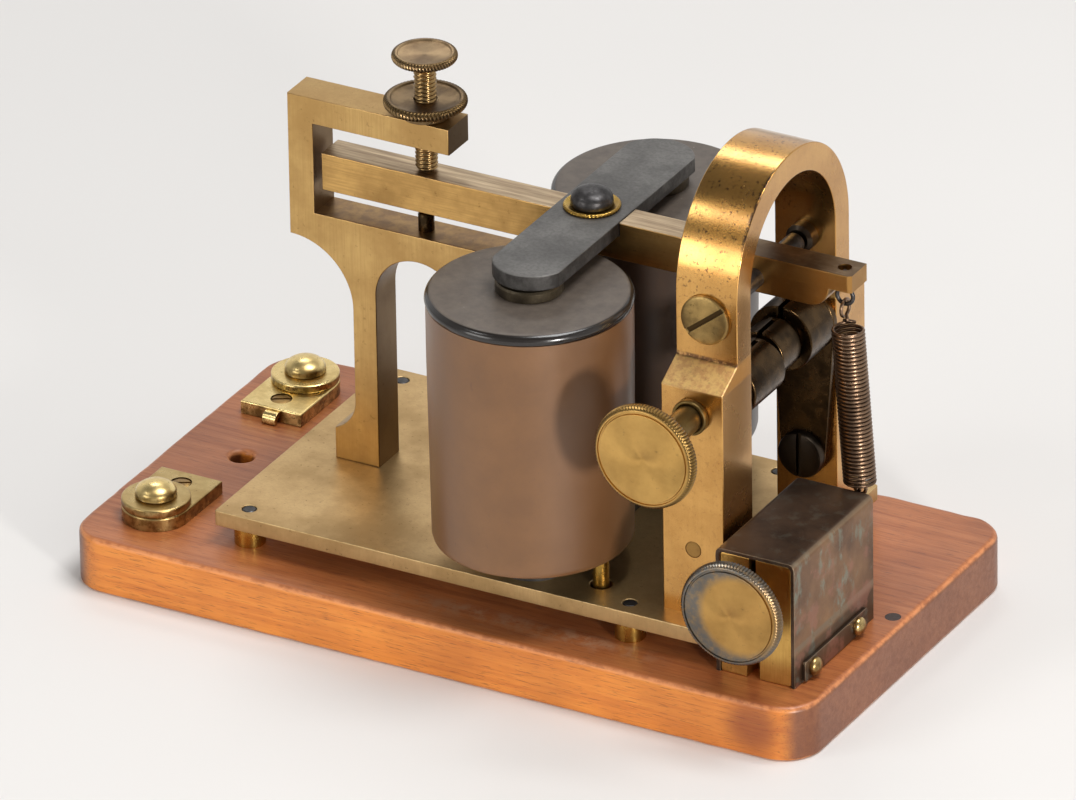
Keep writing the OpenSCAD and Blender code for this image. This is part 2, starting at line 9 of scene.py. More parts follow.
import bmesh
import bpy
from mathutils import Matrix, Vector, noise
from mathutils.geometry import tessellate_polygon


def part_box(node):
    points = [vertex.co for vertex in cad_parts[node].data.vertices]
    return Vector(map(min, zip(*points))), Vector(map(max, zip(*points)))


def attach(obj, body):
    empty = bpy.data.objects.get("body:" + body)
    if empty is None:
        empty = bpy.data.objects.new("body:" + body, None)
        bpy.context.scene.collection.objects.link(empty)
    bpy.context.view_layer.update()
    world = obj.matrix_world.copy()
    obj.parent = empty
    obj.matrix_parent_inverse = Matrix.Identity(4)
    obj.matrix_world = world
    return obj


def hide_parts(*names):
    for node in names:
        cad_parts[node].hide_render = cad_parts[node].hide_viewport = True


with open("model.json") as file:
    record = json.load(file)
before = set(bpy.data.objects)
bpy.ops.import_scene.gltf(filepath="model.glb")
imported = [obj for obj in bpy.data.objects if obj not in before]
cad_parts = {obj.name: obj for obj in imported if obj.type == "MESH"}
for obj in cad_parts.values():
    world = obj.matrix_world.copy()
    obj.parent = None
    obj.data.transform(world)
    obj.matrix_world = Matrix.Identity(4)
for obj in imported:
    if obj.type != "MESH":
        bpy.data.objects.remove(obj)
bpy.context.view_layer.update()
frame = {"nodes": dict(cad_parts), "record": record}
MM = 0.001


# ---------- camera, light and floor ----------

AZIMUTH = radians(29.20)
ELEVATION = radians(27.57)
ROLL = radians(-0.94)
CAMERA_DISTANCE = 2.85
CAMERA_TARGET = Vector((0.0014, -0.0016, 0.0382))
LENS = 526.8
SENSOR = 36
LAMPS_AIM = Vector((0, 0, 0.04))
FLOOR_SIZE = 8
RANGE_SOCKETS = ("From Min", "From Max", "To Min", "To Max")


def toward(azimuth, elevation):
    """Unit vector from the object, azimuth 0 towards -Y and growing towards +X."""
    flat = cos(elevation)
    return Vector((sin(azimuth) * flat, -cos(azimuth) * flat, sin(elevation)))


def make_camera():
    back = toward(AZIMUTH, ELEVATION)
    level = Vector((cos(AZIMUTH), sin(AZIMUTH), 0))
    rise = back.cross(level)
    right = level * cos(ROLL) + rise * sin(ROLL)
    up = rise * cos(ROLL) - level * sin(ROLL)
    camera = bpy.data.objects.new("camera", bpy.data.cameras.new("camera"))
    camera.data.lens = LENS
    camera.data.sensor_width = SENSOR
    place = CAMERA_TARGET + back * CAMERA_DISTANCE
    camera.matrix_world = Matrix.Translation(place) @ Matrix((right, up, back)).transposed().to_4x4()
    bpy.context.scene.collection.objects.link(camera)
    bpy.context.scene.camera = camera


def make_softbox(name, azimuth, elevation, distance, width, height, watts, tint=(1, 1, 1)):
    data = bpy.data.lights.new(name, "AREA")
    data.shape = "RECTANGLE"
    data.size = width
    data.size_y = height
    data.energy = watts
    data.color = tint
    lamp = bpy.data.objects.new(name, data)
    away = toward(radians(azimuth), radians(elevation))
    lamp.location = away * distance + LAMPS_AIM
    lamp.rotation_euler = away.to_track_quat("Z", "Y").to_euler()
    bpy.context.scene.collection.objects.link(lamp)


def make_world():
    world = bpy.data.worlds.new("studio")
    bpy.context.scene.world = world
    world.use_nodes = True
    nodes, links = world.node_tree.nodes, world.node_tree.links
    coords = nodes.new("ShaderNodeTexCoord")
    split = nodes.new("ShaderNodeSeparateXYZ")
    links.new(coords.outputs["Generated"], split.inputs[0])
    product = nodes.new("ShaderNodeMath")
    product.operation = "MULTIPLY"
    # Bright behind the object and low down, dim in front and overhead
    falls = (("Z", (0.45, 0.85, 1.0, 0.2)), ("Y", (-0.5, 0.4, 0.3, 0.85)))
    for index, (axis, limits) in enumerate(falls):
        fall = nodes.new("ShaderNodeMapRange")
        links.new(split.outputs[axis], fall.inputs["Value"])
        for socket, value in zip(RANGE_SOCKETS, limits):
            fall.inputs[socket].default_value = value
        links.new(fall.outputs[0], product.inputs[index])
    links.new(product.outputs[0], nodes["Background"].inputs["Strength"])
    nodes["Background"].inputs["Color"].default_value = (1.0, 0.985, 0.965, 1)


def make_stage():
    make_camera()
    make_world()
    make_softbox("overhead_softbox", 100, 74, 1.2, 0.55, 0.55, 10.5)
    make_softbox("back_left_softbox", -148, 50, 1.3, 0.45, 0.2, 1.9)
    make_softbox("front_left_softbox", -27, 14, 1.3, 0.6, 0.48, 4.3, (1.0, 0.98, 0.95))
    make_softbox("upper_left_softbox", -43, 48, 1.3, 0.24, 0.22, 1.3)
    make_softbox("right_lamp", 56, 8, 1.0, 0.1, 0.1, 7.5, (1.0, 0.97, 0.94))
    bpy.ops.mesh.primitive_plane_add(size=FLOOR_SIZE)
    floor = bpy.context.object
    floor.name = "floor"
    return floor


# ---------- materials ----------


def rgb(r, g, b):
    """Linear colour from screen values out of 255."""
    shares = [c / 255 for c in (r, g, b)]
    return (*(c / 12.92 if c < 0.0404 else ((c + 0.055) / 1.055) ** 2.4 for c in shares), 1)


class Graph:
    """A material's node tree. Textures run in millimetres on the object's own coordinates."""

    def __init__(self, name, **sockets):
        self.material = bpy.data.materials.new(name)
        self.material.use_nodes = True
        self.tree = self.material.node_tree
        self.shader = self.tree.nodes["Principled BSDF"]
        for socket, value in sockets.items():
            self.shader.inputs[socket.replace("_", " ")].default_value = value
        coords = self.tree.nodes.new("ShaderNodeTexCoord")
        self.mm = self.vector("SCALE", coords.outputs["Object"], scale=1 / MM)
        self.facing = self.split(coords.outputs["Normal"])

    def link(self, value, socket):
        if isinstance(value, bpy.types.NodeSocket):
            self.tree.links.new(value, socket)
        else:
            socket.default_value = value

    def vector(self, operation, a, b=None, scale=None):
        node = self.tree.nodes.new("ShaderNodeVectorMath")
        node.operation = operation
        self.link(a, node.inputs[0])
        if b is not None:
            self.link(b, node.inputs[1])
        if scale is not None:
            node.inputs["Scale"].default_value = scale
        return node.outputs["Value" if operation == "LENGTH" else "Vector"]

    def split(self, vector):
        node = self.tree.nodes.new("ShaderNodeSeparateXYZ")
        self.link(vector, node.inputs[0])
        return node.outputs

    def math(self, operation, a, b=0.0):
        node = self.tree.nodes.new("ShaderNodeMath")
        node.operation = operation
        self.link(a, node.inputs[0])
        self.link(b, node.inputs[1])
        return node.outputs[0]

    def times(self, product, *values):
        """The product of two or more values."""
        for value in values:
            product = self.math("MULTIPLY", product, value)
        return product

    def noise(self, scale, detail=4, rough=0.55, stretch=(1, 1, 1), warp=0.0, shift=0.0):
        """Noise with `scale` features in each millimetre, fewer along an axis with a small stretch."""
        node = self.tree.nodes.new("ShaderNodeTexNoise")
        place = self.vector("MULTIPLY", self.mm, stretch)
        self.link(self.vector("ADD", place, (shift, shift, shift)), node.inputs["Vector"])
        values = {"Scale": scale, "Detail": detail, "Roughness": rough, "Distortion": warp}
        for socket, value in values.items():
            node.inputs[socket].default_value = value
        return node.outputs[0]

    def range(self, value, low, high, to_low=0.0, to_high=1.0):
        node = self.tree.nodes.new("ShaderNodeMapRange")
        node.interpolation_type = "SMOOTHSTEP"
        self.link(value, node.inputs["Value"])
        for socket, limit in zip(RANGE_SOCKETS, (low, high, to_low, to_high)):
            node.inputs[socket].default_value = limit
        return node.outputs[0]

    def band(self, value, low, full, fade, gone):
        """1 from full to fade, and 0 below low and above gone."""
        return self.times(self.range(value, low, full), self.range(value, fade, gone, 1, 0))

    def colour(self):
        """The colour that the shader has so far."""
        return self.shader.inputs["Base Color"].links[0].from_socket

    def ramp(self, value, *stops):
        node = self.tree.nodes.new("ShaderNodeValToRGB")
        self.link(value, node.inputs[0])
        points = node.color_ramp.elements
        while len(points) < len(stops):
            points.new(0.5)
        for point, (at, colour) in zip(points, stops):
            point.position = at
            point.color = colour
        return node.outputs["Color"]

    def mix(self, share, a, b, blend="MIX"):
        node = self.tree.nodes.new("ShaderNodeMix")
        node.data_type = "RGBA"
        node.blend_type = blend
        self.link(share, node.inputs[0])
        self.link(a, node.inputs[6])
        self.link(b, node.inputs[7])
        return node.outputs[2]

    def bump(self, height, depth, strength=1.0):
        """Bumps of that depth in millimetres, on top of those already there."""
        node = self.tree.nodes.new("ShaderNodeBump")
        node.inputs["Strength"].default_value = strength
        node.inputs["Distance"].default_value = depth * MM
        self.link(height, node.inputs["Height"])
        socket = self.shader.inputs["Normal"]
        if socket.is_linked:
            self.tree.links.new(socket.links[0].from_socket, node.inputs["Normal"])
        self.tree.links.new(node.outputs[0], socket)

    def set(self, **sockets):
        for socket, value in sockets.items():
            self.link(value, self.shader.inputs[socket.replace("_", " ")])

    def edges(self, sharp=0.985, soft=0.80):
        """1 on the rounded edges of a flat-sided piece, 0 on its flats."""
        sides = [self.math("ABSOLUTE", self.facing[axis]) for axis in "XYZ"]
        most = self.math("MAXIMUM", self.math("MAXIMUM", sides[0], sides[1]), sides[2])
        return self.range(most, soft, sharp, 1, 0)

    def turned(self, axis):
        """Brush marks in circles round an axis, for a turned face."""
        node = self.tree.nodes.new("ShaderNodeTangent")
        node.direction_type = "RADIAL"
        node.axis = axis
        self.tree.links.new(node.outputs[0], self.shader.inputs["Tangent"])


def make_wood():
    """Orange varnished wood: darker ends, a browner top (dust and a painted sheen), edges lighter (wear and
    a painted highlight).
    """
    g = Graph("board_wood", Roughness=0.42, Coat_Weight=0.18, Coat_Roughness=0.3)
    grain = g.noise(1.0, 7, 0.62, (0.035, 0.9, 0.9), 0.5)
    pores = g.noise(1.0, 3, 0.6, (0.3, 4.0, 4.0))
    cloud = g.noise(0.05, 3, 0.5)
    sides = g.ramp(grain, (0.25, rgb(195, 108, 37)), (0.5, rgb(215, 130, 47)), (0.75, rgb(227, 146, 58)))
    top = g.ramp(grain, (0.25, rgb(142, 76, 38)), (0.5, rgb(167, 98, 51)), (0.78, rgb(183, 114, 64)))
    ends = g.ramp(grain, (0.3, rgb(106, 58, 29)), (0.7, rgb(126, 75, 41)))
    end_grain = g.range(g.math("ABSOLUTE", g.facing["X"]), 0.3, 0.75)
    # The top's browner, greyer tone is partly dust and partly a painted sheen from the light above
    colour = g.mix(g.range(g.facing["Z"], 0.35, 0.8), g.mix(end_grain, sides, ends), top)
    colour = g.mix(g.range(cloud, 0.3, 0.75, 0, 0.35), colour, rgb(120, 55, 35), "MULTIPLY")
    colour = g.mix(g.range(pores, 0.54, 0.7, 0, 0.5), colour, rgb(70, 30, 18))
    place = g.split(g.mm)
    # Dust that has settled in front of the plate
    beside = g.band(place["Y"], -38.5, -34, -33, -30)
    along = g.band(place["X"], -20, 5, 30, 52)
    dust = g.times(beside, along, g.range(g.noise(0.35, 5, 0.7), 0.4, 0.65))
    colour = g.mix(g.times(dust, g.range(g.facing["Z"], 0.7, 0.95)), colour, rgb(156, 112, 82))
    # A dark knot at the front right corner
    knot = g.vector("LENGTH", g.vector("SUBTRACT", g.mm, (66.0, -40.0, 6.0)))
    colour = g.mix(g.range(knot, 2, 8, 0.65, 0), colour, rgb(96, 26, 14))
    # The upper and lower edges are painted lighter, partly wear and partly a painted highlight; the upright
    # corners are not
    worn = g.times(g.edges(), g.range(g.noise(0.6, 4), 0.35, 0.6, 0.05, 0.45))
    tilt = g.range(g.math("ABSOLUTE", g.facing["Z"]), 0.1, 0.4)
    colour = g.mix(g.times(worn, tilt), colour, rgb(222, 148, 92))
    g.set(Base_Color=colour, Roughness=g.range(grain, 0.2, 0.8, 0.5, 0.36))
    g.bump(pores, 0.05, 0.5)
    g.bump(grain, 0.12, 0.4)
    return g.material


def make_brass(name, light, dark, rough=0.33, grain=(1, 1, 1), brush=0.35, spots=0.3, spot_scale=0.9,
               spot_colour=rgb(52, 36, 20), metal=1.0, cloud_scale=0.07, anisotropy=0.0, turned=None,
               worn=None, lines=4.0, pit=0.12):
    """Aged brass: cloudy tarnish, brush marks along the axis with a small `grain`, and dark specks."""
    g = Graph(name, Metallic=metal, Anisotropic=anisotropy)
    cloud = g.noise(cloud_scale, 5, 0.62)
    marks = g.noise(lines, 3, 0.6, grain)
    specks = g.range(g.noise(spot_scale, 4, 0.7, shift=7), 0.60, 0.74)
    colour = g.mix(g.range(cloud, 0.33, 0.68), light, dark)
    colour = g.mix(g.range(marks, 0.35, 0.7, 0, brush), colour, dark)
    if worn is not None:
        colour = g.mix(g.times(g.edges(), g.range(g.noise(0.5, 4), 0.3, 0.6)), colour, worn)
    colour = g.mix(g.times(specks, spots), colour, spot_colour)
    gloss = g.range(cloud, 0.3, 0.7, rough - 0.05, rough + 0.08)
    g.set(Base_Color=colour, Roughness=g.math("ADD", gloss, g.times(specks, 0.25)))
    g.bump(marks, 0.012, 0.5)
    g.bump(specks, 0.02, -pit)
    if turned:
        g.turned(turned)
    return g


def make_turned_brass(name, axis, light, dark, anisotropy=0.75):
    """A turned knob's brass, brushed in circles round an axis."""
    return make_brass(name, light, dark, 0.34, brush=0.0, spots=0.35, spot_scale=0.7,
                      spot_colour=rgb(96, 84, 66), cloud_scale=0.16, anisotropy=anisotropy, turned=axis)


def darkened_knurl(g, node, across=(1, 0, 1)):
    """Darker brown in the knurling of the knob that stands for a node; `across` is 0 along its axis."""
    outward = g.vector("LENGTH", g.vector("MULTIPLY", g.mm, across))
    r = measure(node)[3]
    inner = g.range(outward, r - 0.95, r - 0.6)
    valley = g.times(inner, g.range(outward, r - 0.25, r - 0.05, 1, 0.35))
    g.set(Base_Color=g.mix(g.times(valley, 0.75), g.colour(), rgb(84, 66, 38)))
    return g.material


def make_sheet():
    """Brown sheet metal: a darker top, a green and pink bloom on its sides, a dark foot below a seam."""
    g = Graph("sheet_patina", Metallic=0.75)
    cloud = g.noise(0.09, 5, 0.6)
    streaks = g.noise(0.32, 6, 0.7, (1, 1, 0.6))
    brown = g.ramp(cloud, (0.3, rgb(75, 54, 39)), (0.52, rgb(117, 87, 62)), (0.72, rgb(139, 107, 76)))
    side = g.range(g.facing["X"], 0.5, 0.9)
    colour = g.mix(side, g.mix(g.range(cloud, 0.3, 0.7), rgb(66, 51, 41), rgb(96, 75, 59)), brown)
    green = g.times(g.range(streaks, 0.52, 0.64), g.range(side, 0, 1, 0.15, 0.65))
    colour = g.mix(green, colour, rgb(132, 138, 126))
    height = g.split(g.mm)["Z"]
    seam = g.band(height, 17, 18.2, 18.6, 19.2)
    colour = g.mix(g.times(seam, side), colour, rgb(122, 106, 86))
    colour = g.mix(g.times(g.range(height, 16.6, 17.8, 1, 0), 0.6), colour, rgb(40, 32, 26))
    pink = g.range(g.noise(0.16, 4, 0.6, shift=4.0), 0.52, 0.64, 0, 0.5)
    colour = g.mix(g.times(pink, side), colour, rgb(150, 104, 88))
    # Painted highlight: the rounded edges are painted lighter
    colour = g.mix(g.times(g.edges(0.97, 0.85), 0.4), colour, rgb(150, 130, 104))
    g.set(Base_Color=colour, Roughness=g.range(green, 0, 0.8, 0.42, 0.75))
    g.bump(streaks, 0.06, 0.35)
    g.bump(g.noise(2.5, 3), 0.02, 0.3)
    return g.material


def make_plain(name, dark, light, rough, metal=0.0, cloud_scale=0.15, mottle=2.0):
    """A cloudy, finely mottled surface."""
    g = Graph(name, Metallic=metal)
    cloud = g.noise(cloud_scale, 5, 0.6)
    fine = g.noise(mottle, 3, 0.6)
    colour = g.mix(g.range(cloud, 0.3, 0.7), dark, light)
    colour = g.mix(g.range(fine, 0.4, 0.75, 0, 0.35), colour, dark)
    g.set(Base_Color=colour, Roughness=g.range(fine, 0.3, 0.7, rough - 0.05, rough + 0.08))
    g.bump(fine, 0.02, 0.4)
    return g


def make_iron():
    """Dull grey iron, darker on its sides."""
    g = make_plain("iron", rgb(74, 72, 70), rgb(103, 101, 98), 0.5, 0.35, cloud_scale=0.12, mottle=1.6)
    side_darkening = g.times(g.range(g.facing["Z"], 0.3, 0.6, 1, 0), g.range(g.noise(0.5, 4), 0.3, 0.7, 0.95, 0.6))
    g.set(Base_Color=g.mix(side_darkening, g.colour(), rgb(38, 35, 33)))
    return g.material


def make_ebonite():
    """Hard rubber: a greyed flat top and a glossy black rim."""
    g = Graph("ebonite", Coat_Weight=0.1)
    up = g.range(g.facing["Z"], 0.86, 0.99)
    grey = g.ramp(g.noise(0.4, 6, 0.7), (0.3, rgb(78, 69, 62)), (0.7, rgb(98, 88, 78)))
    specks = g.range(g.noise(1.4, 3, 0.7), 0.70, 0.76)
    colour = g.mix(up, rgb(30, 27, 25), g.mix(specks, grey, rgb(150, 144, 138)))
    g.set(Base_Color=colour, Roughness=g.range(up, 0, 1, 0.22, 0.55))
    g.bump(g.noise(3.0, 3), 0.02, 0.35)
    return g.material


def make_sleeve():
    """Brown hard rubber tube, with faint stains, scuffs, a slight sheen, and painted shade on its +X side
    and on the back coil.
    """
    g = Graph("coil_cover", Roughness=0.4, Coat_Weight=0.25, Coat_Roughness=0.32)
    cloud = g.noise(0.07, 5, 0.6)
    fine = g.noise(1.6, 4, 0.65)
    colour = g.ramp(cloud, (0.25, rgb(99, 67, 38)), (0.5, rgb(111, 76, 43)), (0.8, rgb(123, 86, 51)))
    colour = g.mix(g.range(fine, 0.5, 0.8, 0, 0.25), colour, rgb(92, 62, 48))
    scuffs = g.range(g.noise(0.8, 4, 0.7, (1, 1, 0.3)), 0.68, 0.74, 0, 0.55)
    colour = g.mix(scuffs, colour, rgb(74, 50, 40))
    # Painted shade: the side facing +X is painted darker
    colour = g.mix(g.range(g.facing["X"], 0.45, 0.95, 0, 0.6), colour, rgb(84, 56, 34))
    # Painted shade: the back coil's tube is painted nearly black on the side towards the arch and the front
    # coil, where it lies in shadow
    place = g.split(g.mm)
    inward = g.range(g.math("SUBTRACT", place["X"], place["Y"]), -25, -5)
    colour = g.mix(g.times(g.range(place["Y"], -1, 1), inward, 0.9), colour, rgb(44, 32, 26))
    g.set(Base_Color=colour, Roughness=g.range(cloud, 0.3, 0.7, 0.36, 0.46))
    g.bump(fine, 0.015, 0.3)
    return g.material


def make_arch_brass():
    """Lacquered brass: a painted highlight on the step, pink tarnish and a dark line there, specks over the
    crown.
    """
    g = make_brass("arch_brass", rgb(212, 162, 88), rgb(184, 134, 66), 0.26, (1, 1, 0.04), 0.25, 0.6, 1.3,
                   rgb(140, 84, 46), cloud_scale=0.06, lines=3.0, pit=0.02)
    g.shader.inputs["Coat Weight"].default_value = 0.55
    g.shader.inputs["Coat Roughness"].default_value = 0.2
    place = g.split(g.mm)
    front = g.range(g.facing["Y"], -0.2, -0.4)
    # Painted highlight: the sloping step is painted lighter, and it is rough, with a dark line above it
    slope = g.band(place["Z"], 62.5, 63.2, 66.2, 66.9)
    colour = g.mix(g.times(slope, front, 0.6), g.colour(), rgb(255, 222, 150))
    pink = g.times(slope, g.range(g.noise(0.7, 5, 0.7), 0.4, 0.6, 0, 0.4))
    colour = g.mix(g.times(pink, front), colour, rgb(186, 112, 84))
    step_top_line = g.times(g.band(place["Z"], 66.0, 66.35, 66.7, 67.2), front)
    step_top_line = g.times(step_top_line, g.range(g.noise(1.2, 4), 0.35, 0.55, 0.2, 0.9))
    colour = g.mix(step_top_line, colour, rgb(92, 62, 40))
    # Dirt along the band's right edge, from mid-height to the crown, and pits over the crown
    edge = box("arch")[1].x
    line = g.times(g.range(place["X"], edge - 0.8, edge - 0.3), g.range(place["Y"], -2, 0, 1, 0))
    line = g.times(line, g.band(place["Z"], 87, 90, 100, 102), front)
    colour = g.mix(g.times(line, g.range(g.noise(0.9, 4, 0.7), 0.4, 0.55)), colour, rgb(92, 66, 44))
    pits = g.range(g.noise(1.5, 4, 0.65, shift=3.0), 0.58, 0.66)
    pits = g.times(pits, g.range(place["Z"], 74, 84, 0.2, 0.8), g.range(g.facing["X"], 0.5, 0.8, 1, 0.2))
    colour = g.mix(pits, colour, rgb(84, 50, 30))
    rough = g.math("ADD", g.range(g.noise(0.06, 5, 0.62), 0.3, 0.7, 0.2, 0.3), g.times(slope, 0.25))
    g.set(Base_Color=colour, Roughness=rough)
    return g.material


def make_terminal_brass():
    """Bright speckled brass on top, brown patina on the sides."""
    g = make_brass("terminal_brass", rgb(248, 222, 156), rgb(204, 176, 114), 0.29, spots=0.85,
                   spot_scale=0.6, spot_colour=rgb(84, 64, 34), cloud_scale=0.2, brush=0.1)
    side = g.range(g.facing["Z"], 0.25, 0.8, 1, 0)
    patina = g.times(side, g.range(g.noise(0.5, 5, 0.65, shift=2.0), 0.35, 0.6, 0.9, 0.3))
    colour = g.mix(patina, g.colour(), rgb(98, 78, 42))
    # The front terminal and the cover's screws are duller. The binding screws are not: each has its
    # own origin, so both are near 0 here
    front = g.range(g.split(g.mm)["Y"], -9, -5, 0.42, 0)
    g.set(Base_Color=g.mix(front, colour, rgb(116, 84, 46)))
    return g.material


def make_anvil_brass():
    """Brass brushed upright, with painted shade on the faces towards the coils and a duller top."""
    g = make_brass("anvil_brass", rgb(206, 170, 110), rgb(178, 142, 88), 0.34, (1, 1, 0.04), 0.45, 0.3, 0.8,
                   rgb(90, 62, 36), worn=rgb(150, 118, 84), lines=2.6)
    # Painted shade: the faces towards the coils are painted darker
    colour = g.mix(g.range(g.facing["X"], 0.5, 0.9, 0, 0.85), g.colour(), rgb(92, 72, 50))
    colour = g.mix(g.range(g.facing["Z"], 0.7, 0.95, 0, 0.25), colour, rgb(110, 88, 62))
    # The floor of the slot that the lever works in is darker and browner, unevenly
    inside = g.band(g.split(g.mm)["Z"], 30, 32, 80, 82)
    slot_floor_tone = g.times(g.range(g.facing["Z"], 0.7, 0.95), g.range(g.noise(0.5, 4), 0.3, 0.7, 0.4, 0.9))
    g.set(Base_Color=g.mix(g.times(inside, slot_floor_tone), colour, rgb(124, 98, 74)))
    return g.material


def make_lever_brass():
    """Brass brushed along the lever, with a painted reflection on its grey-brown top and a dark, oily tail.
    """
    g = make_brass("lever_brass", rgb(212, 170, 104), rgb(164, 128, 76), 0.34, (0.05, 1, 1), 0.5, 0.35, 0.7,
                   rgb(100, 70, 44), worn=rgb(150, 120, 88), lines=2.6)
    colour = g.colour()
    # Painted reflection: the top is painted grey-brown, the colour the room's reflection gives it
    up = g.range(g.facing["Z"], 0.7, 0.95)
    marks = g.noise(1.2, 4, 0.6, (0.06, 1, 1))
    colour = g.mix(up, colour, g.ramp(marks, (0.3, rgb(134, 112, 88)), (0.7, rgb(206, 184, 152))))
    tail = g.times(g.range(g.split(g.mm)["X"], 24, 50), g.range(g.noise(0.25, 4), 0.2, 0.6, 0.6, 0.95))
    oily = g.mix(up, rgb(156, 116, 64), rgb(88, 68, 46))
    g.set(Base_Color=g.mix(tail, colour, oily))
    return g.material


def make_trunnion_brass():
    """Green-brown heads with painted shade in their slots, and dark oiled pivots between the legs."""
    g = make_brass("trunnion_brass", rgb(178, 148, 92), rgb(118, 98, 62), 0.36, spots=0.6, spot_scale=0.6,
                   cloud_scale=0.22, brush=0.2)
    depth = g.math("ABSOLUTE", g.split(g.mm)["Y"])
    offset = g.vector("SUBTRACT", g.mm, (middle("arch").x, 0, PIVOT_Z))
    radius = g.vector("LENGTH", g.vector("MULTIPLY", offset, (1, 0, 1)))
    out = box("trunnion_screws")[1].y
    # Painted shade: the inside of each screwdriver slot is painted dark
    slot_shade = g.times(g.range(depth, out - 0.4, out - 0.15, 1, 0), g.range(radius, 4.3, 4.5, 1, 0))
    colour = g.mix(slot_shade, g.colour(), rgb(70, 54, 32))
    g.set(Base_Color=g.mix(g.range(depth, 15.5, 16.2, 1, 0), colour, OILY_BROWN))
    return g.material


def make_yoke_screw_brass():
    """Screw ends that nearly match the arch outside, with dark oiled heads between the legs."""
    g = make_brass("yoke_screw_brass", rgb(166, 128, 72), rgb(132, 100, 56), 0.34, spots=0.4)
    out = box("yoke_screws")[1].y
    inner = g.range(g.math("ABSOLUTE", g.split(g.mm)["Y"]), out - 1.5, out - 1.0, 1, 0)
    g.set(Base_Color=g.mix(inner, g.colour(), OILY_BROWN))
    return g.material


def make_winder_knob_brass():
    """The lower knob: a grey ring, widest on its left."""
    g = make_turned_brass("winder_knob_brass", "Y", rgb(186, 146, 84), rgb(170, 131, 74))
    from_centre = g.vector("MULTIPLY", g.vector("ADD", g.mm, (-2.0, 0, -0.3)), (1, 0, 1))
    ring = g.range(g.vector("LENGTH", from_centre), 6.6, 8.8)
    grey = g.times(ring, g.range(g.noise(0.9, 5, 0.7), 0.25, 0.6, 0.5, 1.0))
    g.set(Base_Color=g.mix(grey, g.colour(), rgb(104, 102, 98)))
    return g.material


OILY_BROWN = rgb(62, 54, 46)


def make_materials():
    """A material for each slot, then those that a single piece has in place of its slot's."""
    brass, turned, plain = make_brass, make_turned_brass, make_plain
    head = turned("head_bronze", "Z", rgb(176, 149, 112), rgb(129, 106, 79), 0.6)
    nut = turned("nut_bronze", "Z", rgb(138, 115, 83), rgb(94, 76, 55), 0.6)
    upper_knob = turned("upper_knob_brass", "Y", rgb(196, 156, 90), rgb(178, 140, 79))
    return {
        "board": make_wood(),
        "plug": plain("plug", rgb(40, 30, 28), rgb(60, 46, 42), 0.6).material,
        "plate_brass": brass("plate_brass", rgb(200, 168, 118), rgb(168, 138, 92), 0.42, (0.6, 1, 0.1), 0.3,
                             0.5, 1.1, rgb(74, 56, 36), metal=0.9, worn=rgb(214, 186, 136),
                             lines=3.0).material,
        "anvil_brass": make_anvil_brass(),
        "lever_brass": make_lever_brass(),
        "arch_brass": make_arch_brass(),
        "knob_brass": turned("knob_brass", "Y", rgb(194, 154, 88), rgb(178, 140, 79)).material,
        "terminal_brass": make_terminal_brass(),
        "fastener_brass": brass("fastener_brass", rgb(178, 142, 84), rgb(112, 88, 56), 0.36, spots=0.6,
                                spot_scale=0.6, cloud_scale=0.22, brush=0.2).material,
        "bronze": brass("bronze", rgb(88, 68, 44), rgb(54, 42, 28), 0.27, spots=0.5, spot_scale=0.7,
                        cloud_scale=0.3, spot_colour=rgb(34, 27, 22), brush=0.2).material,
        "sheet_patina": make_sheet(),
        "steel": plain("steel", rgb(40, 38, 38), rgb(84, 82, 82), 0.38, 0.85, cloud_scale=0.4).material,
        "iron": make_iron(),
        "ebonite": make_ebonite(),
        "coil_cover": make_sleeve(),
        "copper_wire": brass("copper_wire", rgb(140, 114, 92), rgb(88, 70, 56), 0.32, spots=0.4,
                             cloud_scale=0.1, brush=0.1, spot_colour=rgb(50, 34, 28)).material,
        "head_bronze": darkened_knurl(head, "adjusting_head", (1, 1, 0)),
        "nut_bronze": darkened_knurl(nut, "lock_nut", (1, 1, 0)),
        "arbor_brass": brass("arbor_brass", rgb(140, 116, 68), rgb(98, 80, 48), 0.34, spots=0.5).material,
        "thread_brass": brass("thread_brass", rgb(176, 144, 96), rgb(112, 90, 60), 0.3, spots=0.6).material,
        "bright_brass": brass("bright_brass", rgb(216, 180, 92), rgb(150, 118, 56), 0.25).material,
        "pole_iron": plain("pole_iron", rgb(58, 50, 40), rgb(98, 88, 70), 0.4, 0.8).material,
        "cheek_brass": brass("cheek_brass", rgb(214, 174, 98), rgb(178, 132, 67), 0.32, (1, 1, 0.05), 0.35,
                             0.5, 0.5, rgb(110, 62, 36)).material,
        "winder_knob_brass": make_winder_knob_brass(),
        "upper_knob_brass": darkened_knurl(upper_knob, "upper_knob"),
        "trunnion_brass": make_trunnion_brass(),
        "yoke_screw_brass": make_yoke_screw_brass(),
    }


def make_floor_material():
    g = Graph("floor", Roughness=0.7)
    tone = g.range(g.noise(0.004, 2), 0.3, 0.7)
    g.set(Base_Color=g.mix(tone, (0.71, 0.695, 0.68, 1), (0.74, 0.725, 0.71, 1)))
    return g.material


# ---------- shapes ----------


def upright(x=0.0, y=0.0):
    return lambda u, v, w: (x + u, y + v, w)


def along_y(x=0.0, z=0.0):
    return lambda u, v, w: (x + u, w, z + v)


def along_x(y=0.0, z=0.0):
    return lambda u, v, w: (w, y + u, z + v)


def arc(x, y, r, start, end, n=12):
    """Points on an arc from one angle to another, in degrees."""
    angles = [radians(start + (end - start) * i / n) for i in range(n + 1)]
    return [(x + r * cos(a), y + r * sin(a)) for a in angles]


def circle(x, y, r, n=48):
    return arc(x, y, r, 0, 360, n)[:-1]


def angles(start, stop, step):
    """Angles from whole degrees, in radians."""
    return [radians(d) for d in range(start, stop, step)]


def oval(x, y, across, up, start, stop, step):
    """Points on an upright or flat oval, as for a domed head or the bead of a rim."""
    return [(x + across * cos(a), y + up * sin(a)) for a in angles(start, stop, step)]


